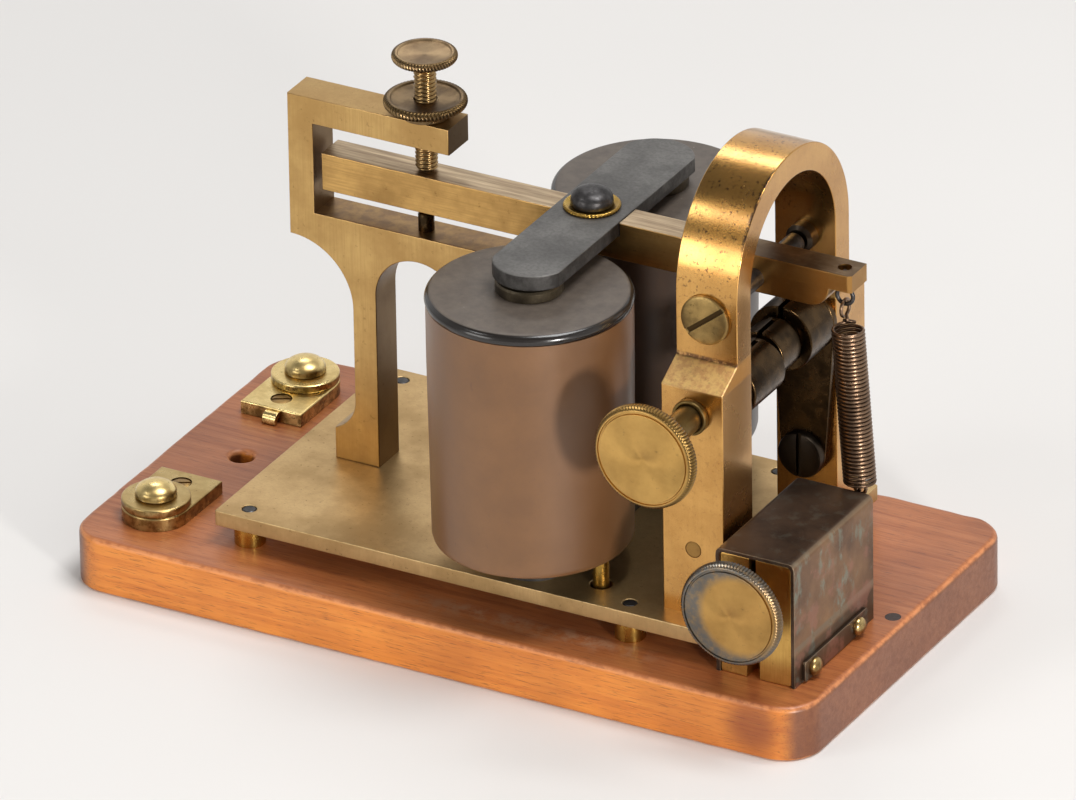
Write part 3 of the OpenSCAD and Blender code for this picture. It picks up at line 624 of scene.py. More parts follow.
def bearing(y, x):
    """The direction of a point from the origin, from 0 to 360 degrees."""
    return atan2(y, x) * 180 / pi % 360


def rectangle(x0, y0, x1, y1):
    return [(x0, y0), (x1, y0), (x1, y1), (x0, y1)]


def soften(points, r, steps=4, closed=False):
    """Rounds the corners of a line of points, or of a closed outline."""
    made = []
    count = len(points)
    for i, (x, y) in enumerate(points):
        if not closed and i in (0, count - 1):
            made.append((x, y))
            continue
        (ax, ay), (bx, by) = points[i - 1], points[(i + 1) % count]
        before, after = hypot(ax - x, ay - y), hypot(bx - x, by - y)
        cut = min(r, 0.45 * before, 0.45 * after)
        sx, sy = x + (ax - x) * cut / before, y + (ay - y) * cut / before
        ex, ey = x + (bx - x) * cut / after, y + (by - y) * cut / after
        for k in range(steps + 1):
            t = k / steps
            keep, turn, go = (1 - t) ** 2, 2 * t * (1 - t), t * t
            made.append((keep * sx + turn * x + go * ex, keep * sy + turn * y + go * ey))
    return made


def divide(points, step):
    """The same outline, with no side longer than step."""
    made = []
    for i, (x, y) in enumerate(points):
        nx, ny = points[(i + 1) % len(points)]
        parts = max(1, round(hypot(nx - x, ny - y) / step))
        made += [(x + (nx - x) * k / parts, y + (ny - y) * k / parts) for k in range(parts)]
    return made


def area(points):
    return sum(x * points[i - 1][1] - points[i - 1][0] * y for i, (x, y) in enumerate(points)) / -2


def inset(points, depth, wear=0.0):
    """Moves an outline to its left by depth; wear makes the depth uneven."""
    made = []
    for i, (x, y) in enumerate(points):
        (ax, ay), (bx, by) = points[i - 1], points[(i + 1) % len(points)]
        before, after = hypot(x - ax, y - ay), hypot(bx - x, by - y)
        n1 = ((ay - y) / before, (x - ax) / before)
        n2 = ((y - by) / after, (bx - x) / after)
        step = depth / max(0.3, 1 + n1[0] * n2[0] + n1[1] * n2[1])
        step *= 1 + wear * noise.noise(Vector((x, y, 0)) * 0.22)
        made.append((x + (n1[0] + n2[0]) * step, y + (n1[1] + n2[1]) * step))
    return made


def slab(bm, loops, w0, w1, place, edge=0.2, wear=0.0, steps=3):
    """Extrudes an outline, and any holes that follow it in loops, from w0 to w1 with rounded edges."""
    loops = [loop if (area(loop) > 0) == (i == 0) else loop[::-1] for i, loop in enumerate(loops)]
    low, high = edge if isinstance(edge, tuple) else (edge, edge)
    turns = [pi / 2 * k / steps for k in range(steps + 1)]
    levels = [(low * (1 - sin(a)), w0 + low * (1 - cos(a))) for a in turns]
    levels += [(high * (1 - sin(a)), w1 - high * (1 - cos(a))) for a in reversed(turns)]
    outlines = [[inset(loop, depth, wear) for loop in loops] for depth, _ in levels]
    rings = [[[bm.verts.new(place(u, v, w)) for u, v in loop] for loop in outline]
             for outline, (_, w) in zip(outlines, levels)]
    for lower, upper in zip(rings, rings[1:]):
        for a, b in zip(lower, upper):
            for i in range(len(a)):
                bm.faces.new((a[i - 1], a[i], b[i], b[i - 1]))
    for outline, ring in ((outlines[0], rings[0]), (outlines[-1], rings[-1])):
        corners = [vert for loop in ring for vert in loop]
        for face in tessellate_polygon([[Vector((u, v, 0)) for u, v in loop] for loop in outline]):
            bm.faces.new([corners[i] for i in face])
    return bm


def lathe(bm, profile, place, n=64, shape=None):
    """Turns (radius, height) points round an axis. shape(angle, r, w) gives the radius there instead."""
    rows = []
    for r, w in profile:
        angles = [2 * pi * i / n for i in range(n)]
        radii = [shape(a, r, w) if shape else r for a in angles]
        rows.append([bm.verts.new(place(q * cos(a), q * sin(a), w)) for a, q in zip(angles, radii)])
    for low, high in zip(rows, rows[1:]):
        for i in range(n):
            bm.faces.new((low[i - 1], low[i], high[i], high[i - 1]))
    return bm


def solid(bm, profile, place, n=64, shape=None):
    """A lathe shape closed on its axis at both ends."""
    return lathe(bm, [(0, profile[0][1])] + profile + [(0, profile[-1][1])], place, n, shape)


def hollow(bm, profile, place, n=64, shape=None):
    """A lathe shape whose profile is a closed loop."""
    return lathe(bm, profile + profile[:1], place, n, shape)


def tube(bm, points, r, sides=10):
    """A round wire along points."""
    points = [Vector(p) for p in points]
    ahead = (points[1] - points[0]).normalized()
    side = ahead.orthogonal().normalized()
    rings = []
    for i, point in enumerate(points):
        run = (points[min(i + 1, len(points) - 1)] - points[max(i - 1, 0)]).normalized()
        side = (side - run * side.dot(run)).normalized()
        other = run.cross(side)
        rings.append([bm.verts.new(point + (side * cos(a) + other * sin(a)) * r)
                      for a in (2 * pi * k / sides for k in range(sides))])
    for low, high in zip(rings, rings[1:]):
        for k in range(sides):
            bm.faces.new((low[k - 1], low[k], high[k], high[k - 1]))
    bm.faces.new(rings[0])
    bm.faces.new(rings[-1])
    return bm


def ridge(x):
    """A triangle wave from 0 to 1 and back, once for each whole number."""
    return abs((x % 1) * 2 - 1)


def smooth_path(points, steps=8):
    """A smooth line through points."""
    points = [Vector(p) for p in points]
    padded = [points[0] * 2 - points[1]] + points + [points[-1] * 2 - points[-2]]
    made = []
    for a, b, c, d in zip(padded, padded[1:], padded[2:], padded[3:]):
        for k in range(steps):
            t = k / steps
            made.append((b * 2 + (c - a) * t + (a * 2 - b * 5 + c * 4 - d) * t * t
                         + (b * 3 - a - c * 3 + d) * t ** 3) / 2)
    return made + [points[-1]]


def temporary(bm):
    bmesh.ops.remove_doubles(bm, verts=bm.verts, dist=0.0005)
    bmesh.ops.recalc_face_normals(bm, faces=bm.faces)
    mesh = bpy.data.meshes.new("temporary")
    bm.to_mesh(mesh)
    bm.free()
    obj = bpy.data.objects.new("temporary", mesh)
    bpy.context.scene.collection.objects.link(obj)
    return obj


def carve(bm, *cutters):
    """A new bmesh: bm without the cutters, which are functions that fill a bmesh."""
    obj = temporary(bm)
    tools = []
    for fill in cutters:
        tool = bmesh.new()
        fill(tool)
        tools.append(temporary(tool))
        cut = obj.modifiers.new("cut", "BOOLEAN")
        cut.operation = "DIFFERENCE"
        cut.solver = "EXACT"
        cut.object = tools[-1]
    made = bmesh.new()
    made.from_mesh(evaluated_mesh(obj))
    for thing in [obj] + tools:
        bpy.data.objects.remove(thing)
    return made


def drill(r, place, w0, w1, n=32):
    return lambda bm: solid(bm, [(r, w0), (r, w1)], place, n)


def block(lo, hi, turn=None):
    """A cutter: a box, turned by a matrix about its own middle."""
    def fill(bm):
        corners = bmesh.ops.create_cube(bm, size=1)["verts"]
        lo_v, hi_v = Vector(lo), Vector(hi)
        size = Matrix.Diagonal((hi_v - lo_v).to_4d())
        size[3][3] = 1
        shift = Matrix.Translation((lo_v + hi_v) / 2)
        bmesh.ops.transform(bm, matrix=shift @ (turn or Matrix()) @ size, verts=corners)
    return fill


def weigh_normals(obj):
    """Broad faces set the normals, so that the narrow rounded edges don't bend the flats beside them."""
    weights = obj.modifiers.new("weights", "WEIGHTED_NORMAL")
    weights.keep_sharp = True
    rough = obj.data
    obj.data = evaluated_mesh(obj)
    obj.modifiers.clear()
    bpy.data.meshes.remove(rough)
    obj.data.name = obj.name


def evaluated_mesh(obj):
    """The object's mesh with its modifiers applied."""
    return bpy.data.meshes.new_from_object(obj.evaluated_get(bpy.context.evaluated_depsgraph_get()))


def piece(name, bm, body, slot, nodes, origin=(0, 0, 0), sharp=38, finish=None):
    """Makes a piece from a bmesh in millimetres, riding on a body and standing for CAD nodes.

    Its material is its slot's own, or the one named by finish.
    """
    bmesh.ops.remove_doubles(bm, verts=bm.verts, dist=0.0005)
    bmesh.ops.recalc_face_normals(bm, faces=bm.faces)
    bmesh.ops.translate(bm, vec=-Vector(origin), verts=bm.verts)
    bmesh.ops.scale(bm, vec=(MM, MM, MM), verts=bm.verts)
    mesh = bpy.data.meshes.new(name)
    bm.to_mesh(mesh)
    bm.free()
    mesh.shade_smooth()
    mesh.set_sharp_from_angle(angle=radians(sharp))
    mesh.materials.append(materials[finish or slot])
    obj = bpy.data.objects.new(name, mesh)
    obj.location = Vector(origin) * MM
    bpy.context.scene.collection.objects.link(obj)
    weigh_normals(obj)
    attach(obj, body)
    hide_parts(*nodes)
    return obj


def box(node):
    """Lowest and highest corners of a CAD node, in millimetres."""
    return [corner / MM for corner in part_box(node)]


def measure(node):
    """A CAD node's lowest and highest corners, its middle, and its radius across X."""
    lo, hi = box(node)
    return lo, hi, (lo + hi) / 2, (hi.x - lo.x) / 2


def middle(node):
    return measure(node)[2]


def slotted(bm, centre, width, depth, length, turn):
    """Cuts a screwdriver slot, a box turned about its own middle."""
    half = Vector((length, width, depth)) / 2
    return carve(bm, block(Vector(centre) - half, Vector(centre) + half, turn))


# ---------- board, plate and terminals ----------

BOARD_CORNER = 7.5
WIRE_HOLE_X, WIRE_HOLE_R, PLUG_R = -62, 2.1, 1.5
COUNTERBORE_R, COUNTERBORE_TOP = 3.2, 3
GROOVE_HALF_WIDTH, GROOVE_DEPTH = 1.5, 3
POST_X = (-44, 34.6)
POST_Y = 28.4
PLATE_SCREW_R = 1.4
WINDER_SCREW_Y = (-24, -10)
LEAD = (26.6, 24.5)
LEAD_END = (-60, 17.5)


def corners_of_plate():
    return [(x, y) for x in POST_X for y in (-POST_Y, POST_Y)]


def make_board():
    """A rounded board with two holes, counterbores below for the screws, and two grooves for the leads."""
    lo, hi = box("base_board")
    plug = middle("board_plug")
    r = BOARD_CORNER
    left, right, front, back = lo.x + r, hi.x - r, lo.y + r, hi.y - r
    outline = []
    for x, y, start in ((right, front, -90), (right, back, 0), (left, back, 90), (left, front, 180)):
        outline += arc(x, y, r, start, start + 90, 12)
    holes = [circle(WIRE_HOLE_X, 0, WIRE_HOLE_R, 32)]
    bm = slab(bmesh.new(), [divide(outline, 2.5)] + holes, lo.z, hi.z, upright(), (0.7, 1.15), 0.45, 4)
    cutters = [drill(PLUG_R, upright(plug.x, plug.y), hi.z - 3, hi.z + 1)]
    screws = corners_of_plate() + [(middle("winder_knob").x, y) for y in WINDER_SCREW_Y]
    cutters += [drill(COUNTERBORE_R, upright(x, y), -1, COUNTERBORE_TOP) for x, y in screws]
    for s in (-1, 1):
        start, end = Vector((LEAD_END[0], s * LEAD_END[1], 0)), Vector((LEAD[0], s * LEAD[1], 0))
        run = end - start
        centre = (start + end) / 2 + Vector((0, 0, GROOVE_DEPTH - 2))
        half = Vector((run.length / 2 + GROOVE_HALF_WIDTH, GROOVE_HALF_WIDTH, 2))
        turn = Matrix.Rotation(atan2(run.y, run.x), 4, "Z")
        cutters.append(block(centre - half, centre + half, turn))
    piece("wooden_board", carve(bm, *cutters), "base", "board", ["base_board"])


def make_plate():
    lo, hi = box("base_plate")
    outline = soften(rectangle(lo.x, lo.y, hi.x, hi.y), 0.5, 3, True)
    holes = [circle(x, y, PLATE_SCREW_R, 24) for x, y in corners_of_plate()]
    holes += [circle(LEAD[0], s * LEAD[1], 2.1, 24) for s in (-1, 1)]
    bm = slab(bmesh.new(), [outline] + holes, lo.z, hi.z, upright(), 0.18)
    piece("brass_plate", bm, "base", "plate_brass", ["base_plate"])


def make_posts():
    lo, hi = box("plate_posts")
    bore, r, chamfer = 1.45, 2.9, 2.75
    profile = [(bore, lo.z), (chamfer, lo.z), (r, lo.z + 0.2), (r, hi.z - 0.2), (chamfer, hi.z)]
    profile += [(bore, hi.z)]
    bm = bmesh.new()
    for x, y in corners_of_plate():
        hollow(bm, profile, upright(x, y), 40)
    piece("turned_posts", bm, "base", "knob_brass", ["plate_posts"], finish="bright_brass")


def make_screw_ends():
    """The plate screws: a slightly sunk, chamfered end in the plate, and a slotted head under the board."""
    lo, hi = box("plate_screws")
    head_r, shank_r = 2.7, 1.35
    profile = [(head_r, lo.z), (head_r, 2.8), (shank_r, 3.0), (shank_r, hi.z - 0.25), (1.1, hi.z - 0.05)]
    bm = bmesh.new()
    for x, y in corners_of_plate():
        solid(bm, profile, upright(x, y), 32)
    for x, y in corners_of_plate():
        bm = carve(bm, block((x - 3, y - 0.35, 0), (x + 3, y + 0.35, 1.9)))
    piece("plate_screws_detailed", bm, "base", "steel", ["plate_screws"])


TERMINAL_HOLE_Y, TERMINAL_NEAR_Y = 18.6, 14.6


def make_terminal(side, name, node):
    """A thick brass plate with a round end, a countersunk hole and, at the back, a tab bent down."""
    lo, hi = box(node)
    x, r = (lo.x + hi.x) / 2, (hi.x - lo.x) / 2
    far, near = max(abs(lo.y), abs(hi.y)), TERMINAL_NEAR_Y
    outline = [(x - r, near), (x + r, near)] + arc(x, far - r, r, 0, 180, 24)
    bm = slab(bmesh.new(), [[(u, side * v) for u, v in outline]], lo.z, hi.z, upright(), (0.15, 0.35))
    bm = carve(bm, drill(2.05, upright(x, side * TERMINAL_HOLE_Y), hi.z - 0.75, hi.z + 1, 32))
    if side > 0:
        tab = [(near + 0.2, hi.z - 0.45), (near - 1.0, hi.z - 0.5), (near - 1.85, hi.z - 1.2),
               (near - 1.9, lo.z + 0.02), (near - 0.9, lo.z + 0.02), (near - 0.8, hi.z - 1.5),
               (near + 0.2, hi.z - 1.7)]
        slab(bm, [soften(tab, 0.5, 3, True)], x - 0.9, x + 1.9, along_x(), 0.12)
    piece(name, bm, "base", "terminal_brass", [node])


def make_terminal_screws():
    lo, hi = box("terminal_screws")
    bm = bmesh.new()
    x = middle("front_terminal").x
    profile = [(1.3, lo.z), (1.3, hi.z - 1.2), (1.95, hi.z - 0.6), (1.8, hi.z - 0.15), (1.4, hi.z - 0.05)]
    for s in (-1, 1):
        solid(bm, profile, upright(x, s * TERMINAL_HOLE_Y), 32)
    for s in (-1, 1):
        turn = Matrix.Rotation(radians(30), 4, "Z")
        bm = slotted(bm, (x, s * TERMINAL_HOLE_Y, hi.z), 0.55, 0.8, 5, turn)
    piece("countersunk_screws", bm, "base", "fastener_brass", ["terminal_screws"])


def make_binding(name, body):
    """A washer with a rounded rim and, on its own body, the domed screw that clamps a line wire."""
    lo, hi, centre, r = measure(name + "_washer")
    place, seat, bore = upright(centre.x, centre.y), hi.z, 1.65
    ring = [(bore, lo.z + 0.03), (r, lo.z + 0.03), (r, seat), (bore, seat)]
    bm = hollow(bmesh.new(), soften(ring, 0.35, 3, True), place, 72)
    piece(name + "_washer", bm, "base", "terminal_brass", [name + "_washer"])
    lo, hi = box(name + "_screw")
    head_r, shank_r, rise = 3.9, 1.6, seat + 0.75
    head = [(shank_r, lo.z), (shank_r, seat), (head_r - 0.3, seat + 0.03), (head_r, seat + 0.35)]
    head += [(head_r - 0.08, rise)] + oval(0, rise, head_r, hi.z - seat - 0.75, 12, 90, 9)
    bm = solid(bmesh.new(), head, place, 56)
    piece(name + "_screw_head", bm, body, "terminal_brass", [name + "_screw"],
          origin=(centre.x, centre.y, seat))


# ---------- anvil and its screws ----------

ANVIL_X = -22
ANVIL_REACH = 26.4
ANVIL_ARM_REACH = 7
SLOT_FLOOR, SLOT_TOP, HEAD_BOTTOM = 66.8, 84.8, 61.6
WAIST, FOOT, FOOT_TOP, FLARE_R = 13.6, 17.9, 23.8, 6.6
PORTAL = 8.75
STOP_PIN_R = 1.5


def make_anvil():
    lo, hi = box("anvil")
    fillet = ANVIL_REACH - WAIST
    flare_z = FOOT_TOP + sqrt(FLARE_R ** 2 - (FLARE_R - FOOT + WAIST) ** 2)
    tip = bearing(FOOT_TOP - flare_z, FOOT - WAIST - FLARE_R)
    right = [(PORTAL, lo.z), (FOOT, lo.z)] + arc(WAIST + FLARE_R, flare_z, FLARE_R, tip, 180, 8)
    right += arc(ANVIL_REACH, HEAD_BOTTOM - fillet, fillet, 180, 90, 20)
    slot_inner = ANVIL_REACH - (hi.z - SLOT_TOP)
    frame_of_slot = [(ANVIL_REACH, SLOT_FLOOR), (-slot_inner, SLOT_FLOOR), (-slot_inner, SLOT_TOP),
                     (ANVIL_ARM_REACH, SLOT_TOP), (ANVIL_ARM_REACH, hi.z), (-ANVIL_REACH, hi.z)]
    left = [(-u, v) for u, v in reversed(right)]
    portal = arc(0, HEAD_BOTTOM - PORTAL, PORTAL, 180, 0, 28)
    outline = right + frame_of_slot + left + portal
    bm = slab(bmesh.new(), [[(ANVIL_X + u, v) for u, v in outline]], lo.y, hi.y, along_y(), 0.22)
    stop = middle("adjusting_screw")
    bm = carve(bm, drill(2.15, upright(stop.x, 0), SLOT_TOP - 1, hi.z + 1),
               drill(1.5, upright(ANVIL_X, 0), HEAD_BOTTOM + 1.2, SLOT_FLOOR + 1))
    piece("anvil_frame", bm, "base", "anvil_brass", ["anvil"])


def make_stop_pin():
    lo, hi, centre, _ = measure("stop_pin")
    r = STOP_PIN_R
    profile = [(r, lo.z), (r, hi.z - 1.4), (r, hi.z - 0.5), (r - 0.25, hi.z - 0.15), (r - 0.6, hi.z)]
    bm = solid(bmesh.new(), profile, upright(centre.x, 0), 32)
    piece("stop_pin_turned", bm, "base", "bronze", ["stop_pin"])


THREAD_PITCH, THREAD_DEPTH = 0.8, 0.26
HEAD_TEETH, NUT_TEETH, WASHER_TEETH = 60, 66, 44


def make_adjusting_screw():
    lo, hi, centre, r = measure("adjusting_screw")
    step = THREAD_PITCH / 8
    rows = int((hi.z - lo.z - 1.2) / THREAD_PITCH * 8)
    profile = [(r * 0.62, lo.z), (r * 0.8, lo.z + 0.35)]
    profile += [(r, lo.z + 0.6 + i * step) for i in range(rows)]
    profile += [(r * 0.8, hi.z)]

    def thread(a, at, w):
        return at - THREAD_DEPTH * ridge(w / THREAD_PITCH - a / (2 * pi)) if at == r else at

    bm = solid(bmesh.new(), profile, upright(centre.x, 0), 40, thread)
    piece("threaded_shank", bm, "adjusting_shank", "bronze", ["adjusting_screw"],
          origin=(centre.x, 0, lo.z), finish="thread_brass")


def rope(teeth, rim_r, depth, skew, start):
    """Slanting rounded teeth on whatever lies further out than start."""
    def shape(a, r, w):
        if r <= start:
            return r
        lobe = sin(pi * ((a * teeth / (2 * pi) + skew * w) % 1))
        return r - depth * (1 - lobe) * min(1.0, (r - start) / (rim_r - start))
    return shape


def make_adjusting_head():
    lo, hi, centre, r = measure("adjusting_head")
    half = (hi.z - lo.z) / 2
    profile = [(r - 1.6, lo.z + 0.05)] + oval(r - 0.75, centre.z, 0.75, half * 0.92, -80, 81, 16)
    profile += [(r - 1.05, hi.z - 0.12), (r - 1.3, hi.z - 0.42), (r - 2.2, hi.z - 0.5), (0.5, hi.z - 0.5)]
    shape = rope(HEAD_TEETH, r, 0.4, 0.55, r - 0.9)
    bm = solid(bmesh.new(), profile, upright(centre.x, 0), HEAD_TEETH * 6, shape)
    piece("roped_head", bm, "adjusting_knob", "bronze", ["adjusting_head"], origin=centre,
          finish="head_bronze")


def make_lock_nut():
    lo, hi, centre, r = measure("lock_nut")
    bore, hub, rim_low = 2.2, 4.6, hi.z - 2.0
    profile = [(bore, lo.z), (hub - 0.2, lo.z), (hub, lo.z + 0.2), (hub, rim_low)]
    profile += [(r - 1.4, rim_low + 0.05)] + oval(r - 0.9, hi.z - 1.0, 0.9, 0.95, -80, 81, 16)
    profile += [(r - 1.25, hi.z - 0.12), (r - 1.5, hi.z - 0.45), (r - 2.6, hi.z - 0.62), (2.9, hi.z - 0.5)]
    profile += [(bore, hi.z - 0.5)]
    shape = rope(NUT_TEETH, r, 0.44, 0.5, r - 1.0)
    bm = hollow(bmesh.new(), profile, upright(centre.x, 0), 76 * 6, shape)
    piece("roped_lock_nut", bm, "lock_nut", "bronze", ["lock_nut"], origin=centre, finish="nut_bronze")


# ---------- arch, its screws and the yoke ----------

ARCH_AXIS_Z, ARCH_INNER, ARCH_OUTER = 78.2, 16.15, 21.4
LEG_OUTER, STEP_TOP, STEP_BOTTOM = 27.2, 66.3, 63
PIVOT_Z = 74.5
YOKE_PIVOT_Z, YOKE_HEAD_R, YOKE_ARM = 30.8, 4.5, 1.5
YOKE_SCREW_HOLE_R, ARBOR_HOLE_R = 1.62, 2.66


def make_arch():
    lo, hi = box("arch")
    right = [(ARCH_INNER, lo.z), (LEG_OUTER, lo.z), (LEG_OUTER, STEP_BOTTOM), (ARCH_OUTER, STEP_TOP)]
    outline = right + arc(0, ARCH_AXIS_Z, ARCH_OUTER, 0, 180, 64) + [(-u, v) for u, v in reversed(right)]
    outline += arc(0, ARCH_AXIS_Z, ARCH_INNER, 180, 0, 56)
    bm = slab(bmesh.new(), [outline], lo.x, hi.x, along_x(), 0.22)
    centre = (lo + hi) / 2
    place = along_y(centre.x, YOKE_PIVOT_Z)
    cutters = [drill(YOKE_SCREW_HOLE_R, place, s * ARCH_INNER - s, s * LEG_OUTER + s) for s in (-1, 1)]
    arbor = middle("upper_knob")
    cutters.append(drill(ARBOR_HOLE_R, along_y(arbor.x, arbor.z), -LEG_OUTER - 1, -ARCH_INNER + 1))
    piece("arch_standard", carve(bm, *cutters), "base", "arch_brass", ["arch"])


def make_trunnions():
    """Slotted cheese-head screws outside, turned pivots inside."""
    bm = bmesh.new()
    x, out, tip, seat = middle("arch").x, box("trunnion_screws")[1].y, 13.3, ARCH_OUTER + 0.02
    profile = [(0.9, tip - 2.5), (0.9, tip), (2.0, tip), (2.7, tip + 0.6), (2.7, seat), (4.6, seat)]
    profile += [(4.75, ARCH_OUTER + 0.3), (4.72, out - 0.35), (4.3, out - 0.06), (3.0, out)]
    for s in (-1, 1):
        solid(bm, [(r, s * w) for r, w in profile], along_y(x, PIVOT_Z), 64)
    for s in (-1, 1):
        turn = Matrix.Rotation(radians(-38), 4, "Y")
        bm = slotted(bm, (x, s * out, PIVOT_Z), 1.1, 0.95, 12, turn)
    piece("trunnion_screws_slotted", bm, "base", "fastener_brass", ["trunnion_screws"],
          finish="trunnion_brass")


def make_yoke():
    """A bent strap with two arms and a split sleeve that the upper arbor turns in."""
    x, z = middle("upper_arbor").x, middle("upper_arbor").z
    pivot_x = middle("arch").x
    far_r, near_r, lobe_x, lobe_z = 6.4, 5.3, 0.8, -0.6
    bm = bmesh.new()
    for s in (-1, 1):
        top_r = far_r if s > 0 else 5.6
        arm = arc(pivot_x, YOKE_PIVOT_Z, YOKE_HEAD_R, 185, 355, 20) + arc(x, z, top_r, -8, 188, 28)
        ends = sorted((s * (ARCH_INNER - YOKE_ARM), s * (ARCH_INNER - 0.02)))
        slab(bm, [arm, circle(x, z, ARBOR_HOLE_R, 40)], ends[0], ends[1], along_y(), 0.25)
    slit = 0.5

    def split_ring(cx, cz, r, y0, y1):
        gap = bearing(slit, r)
        outer = arc(cx, cz, r, 90 + gap, 450 - gap, 56)
        bore = bearing(slit, ARBOR_HOLE_R)
        inner = arc(x, z, ARBOR_HOLE_R, 450 - bore, 90 + bore, 40)
        slab(bm, [outer + inner], y0, y1, along_y(), 0.3)

    def collar(r, y0, y1):
        ring = [(ARBOR_HOLE_R, y0), (r, y0), (r, y1), (ARBOR_HOLE_R, y1)]
        hollow(bm, soften(ring, 0.3, 3, True), along_y(x, z), 48)

    inner_face = ARCH_INNER - YOKE_ARM
    split_ring(x + lobe_x, z + lobe_z, near_r, -inner_face, -3.2)
    collar(3.9, -3.2, -1.8)
    split_ring(x, z, 4.9, -1.8, 5.0)
    collar(4.2, 5.0, 6.2)
    split_ring(x, z, far_r, 6.2, inner_face)
    piece("split_sleeve_yoke", bm, "base", "bronze", ["arbor_yoke"])


def make_yoke_screws():
    end = box("yoke_screws")[1].y
    x, face, head = middle("arch").x, ARCH_INNER - YOKE_ARM, 1.8
    profile = [(3.4, face - head), (4.3, face - head + 0.35), (4.5, face - head + 0.8), (4.5, face - 0.02)]
    profile += [(1.6, face - 0.02), (1.6, end - 0.12), (1.45, end)]
    bm = bmesh.new()
    for s in (-1, 1):
        solid(bm, [(r, s * w) for r, w in profile], along_y(x, YOKE_PIVOT_Z), 56)
    for s in (-1, 1):
        turn = Matrix.Rotation(radians(90), 4, "Y")
        bm = slotted(bm, (x, s * (face - head), YOKE_PIVOT_Z), 1.3, 1.0, 12, turn)
    piece("yoke_pivot_screws", bm, "base", "fastener_brass", ["yoke_screws"], finish="yoke_screw_brass")


# ---------- knobs ----------

KNOB_TEETH, KNURL_DEPTH = 100, 0.24


def knob_rim(r, depth):
    def shape(a, at, _):
        start = r - 1.0
        if at <= start:
            return at
        return at - depth * ridge(a * KNOB_TEETH / (2 * pi)) * min(1.0, (at - start) / 0.8)
    return shape


def make_large_knob(name, node, body):
    """A knurled disc with a groove round its face and a small centre mark."""
    lo, hi, centre, r = measure(node)
    front, back = lo.y, hi.y
    profile = [(3.0, back)] + oval(r - 0.85, centre.y, 0.85, (back - front) / 2 * 0.94, 90, -91, -15)
    profile += [(r - 1.02, front + 0.05), (r - 1.12, front + 0.3), (r - 1.38, front + 0.3)]
    profile += [(r - 1.5, front + 0.04), (r - 1.62, front), (4.0, front + 0.02), (0.7, front + 0.02)]
    profile += [(0.35, front + 0.2)]
    bm = solid(bmesh.new(), profile, along_y(centre.x, centre.z), KNOB_TEETH * 4, knob_rim(r, KNURL_DEPTH))
    piece(name, bm, body, "knob_brass", [node], origin=centre, finish=node + "_brass")


def make_upper_arbor():
    """The upper knob's arbor with a groove turned in it, and the collar it passes through."""
    lo, hi, centre, r = measure("upper_arbor")
    place = along_y(centre.x, centre.z)
    groove_r = r - 0.18
    profile = [(r, lo.y), (r, lo.y + 5.2), (groove_r, lo.y + 5.35), (groove_r, lo.y + 5.7)]
    profile += [(r, lo.y + 5.85), (r, hi.y - 0.3), (r - 0.3, hi.y)]
    bm = solid(bmesh.new(), profile, place, 56)
    piece("upper_arbor_turned", bm, "upper_arbor", "fastener_brass", ["upper_arbor"], finish="arbor_brass")
    lo, hi, _, outer = measure("arbor_bushing")
    ring = [(r + 0.05, lo.y), (outer, lo.y), (outer, hi.y), (r + 0.05, hi.y)]
    bm = hollow(bmesh.new(), soften(ring, 0.4, 3, True), place, 56)
    piece("arbor_collar", bm, "base", "fastener_brass", ["arbor_bushing"], finish="arbor_brass")


# ---------- magnet ----------


def coil_centres():
    lo, hi = box("coil_sleeves")
    r = (hi.x - lo.x) / 2
    return [((lo.x + hi.x) / 2, y) for y in (lo.y + r, hi.y - r)]


def on_each_coil(profile):
    bm = bmesh.new()
    for x, y in coil_centres():
        hollow(bm, profile, upright(x, y), 128)
    return bm


def make_coils():
    """Tubes that taper slightly to a rounded foot, and caps with a rounded edge."""
    lo, hi, _, r = measure("coil_sleeves")
    foot = r - 0.4
    profile = [(foot - 1, lo.z), (foot - 0.55, lo.z), (foot - 0.2, lo.z + 0.35), (foot, lo.z + 1.1)]
    profile += [(foot + 0.4 * t, lo.z + 1.1 + (hi.z - lo.z - 12) * t) for t in (0.25, 0.5, 0.75, 1)]
    profile += [(r, hi.z - 0.05), (foot - 1, hi.z - 0.05)]
    piece("coil_covers", on_each_coil(profile), "base", "coil_cover", ["coil_sleeves"])
    lo, hi, _, r = measure("coil_caps")
    bore, round_r = 4.65, 1.35
    profile = [(bore, lo.z), (r - 0.5, lo.z), (r - 0.15, lo.z + 0.15)]
    profile += oval(r - round_r, hi.z - round_r, round_r, round_r, 0, 91, 10)
    profile += [(r - round_r - 0.35, hi.z), (bore, hi.z)]
    piece("coil_end_caps", on_each_coil(profile), "base", "ebonite", ["coil_caps"])


def make_poles():
    """Cores with a wider pole disc on top, chamfered at its edge."""
    lo, hi = box("magnet_cores")
    core_r, disc_r, seat = 4.6, 6.2, box("coil_caps")[1].z
    profile = [(core_r, lo.z), (core_r, seat + 0.02), (disc_r - 0.2, seat + 0.02), (disc_r, seat + 0.3)]
    profile += [(disc_r, hi.z - 0.35), (disc_r - 0.3, hi.z)]
    bm = bmesh.new()
    for x, y in coil_centres():
        solid(bm, profile, upright(x, y), 64)
    piece("pole_pieces", bm, "base", "iron", ["magnet_cores"], finish="pole_iron")


def make_lead_bushings():
    lo, hi = box("lead_bushings")
    bore, r = 0.9, 1.5
    profile = [(bore, lo.z), (r - 0.1, lo.z), (r, lo.z + 0.2), (r, hi.z - 1.6), (r - 0.15, hi.z - 1.2)]
    profile += [(r, hi.z - 0.9), (r, hi.z - 0.1), (bore, hi.z - 0.1)]
    bm = bmesh.new()
    for s in (-1, 1):
        hollow(bm, profile, upright(LEAD[0], s * LEAD[1]), 36)
    piece("lead_pegs", bm, "base", "copper_wire", ["lead_bushings"], finish="bright_brass")


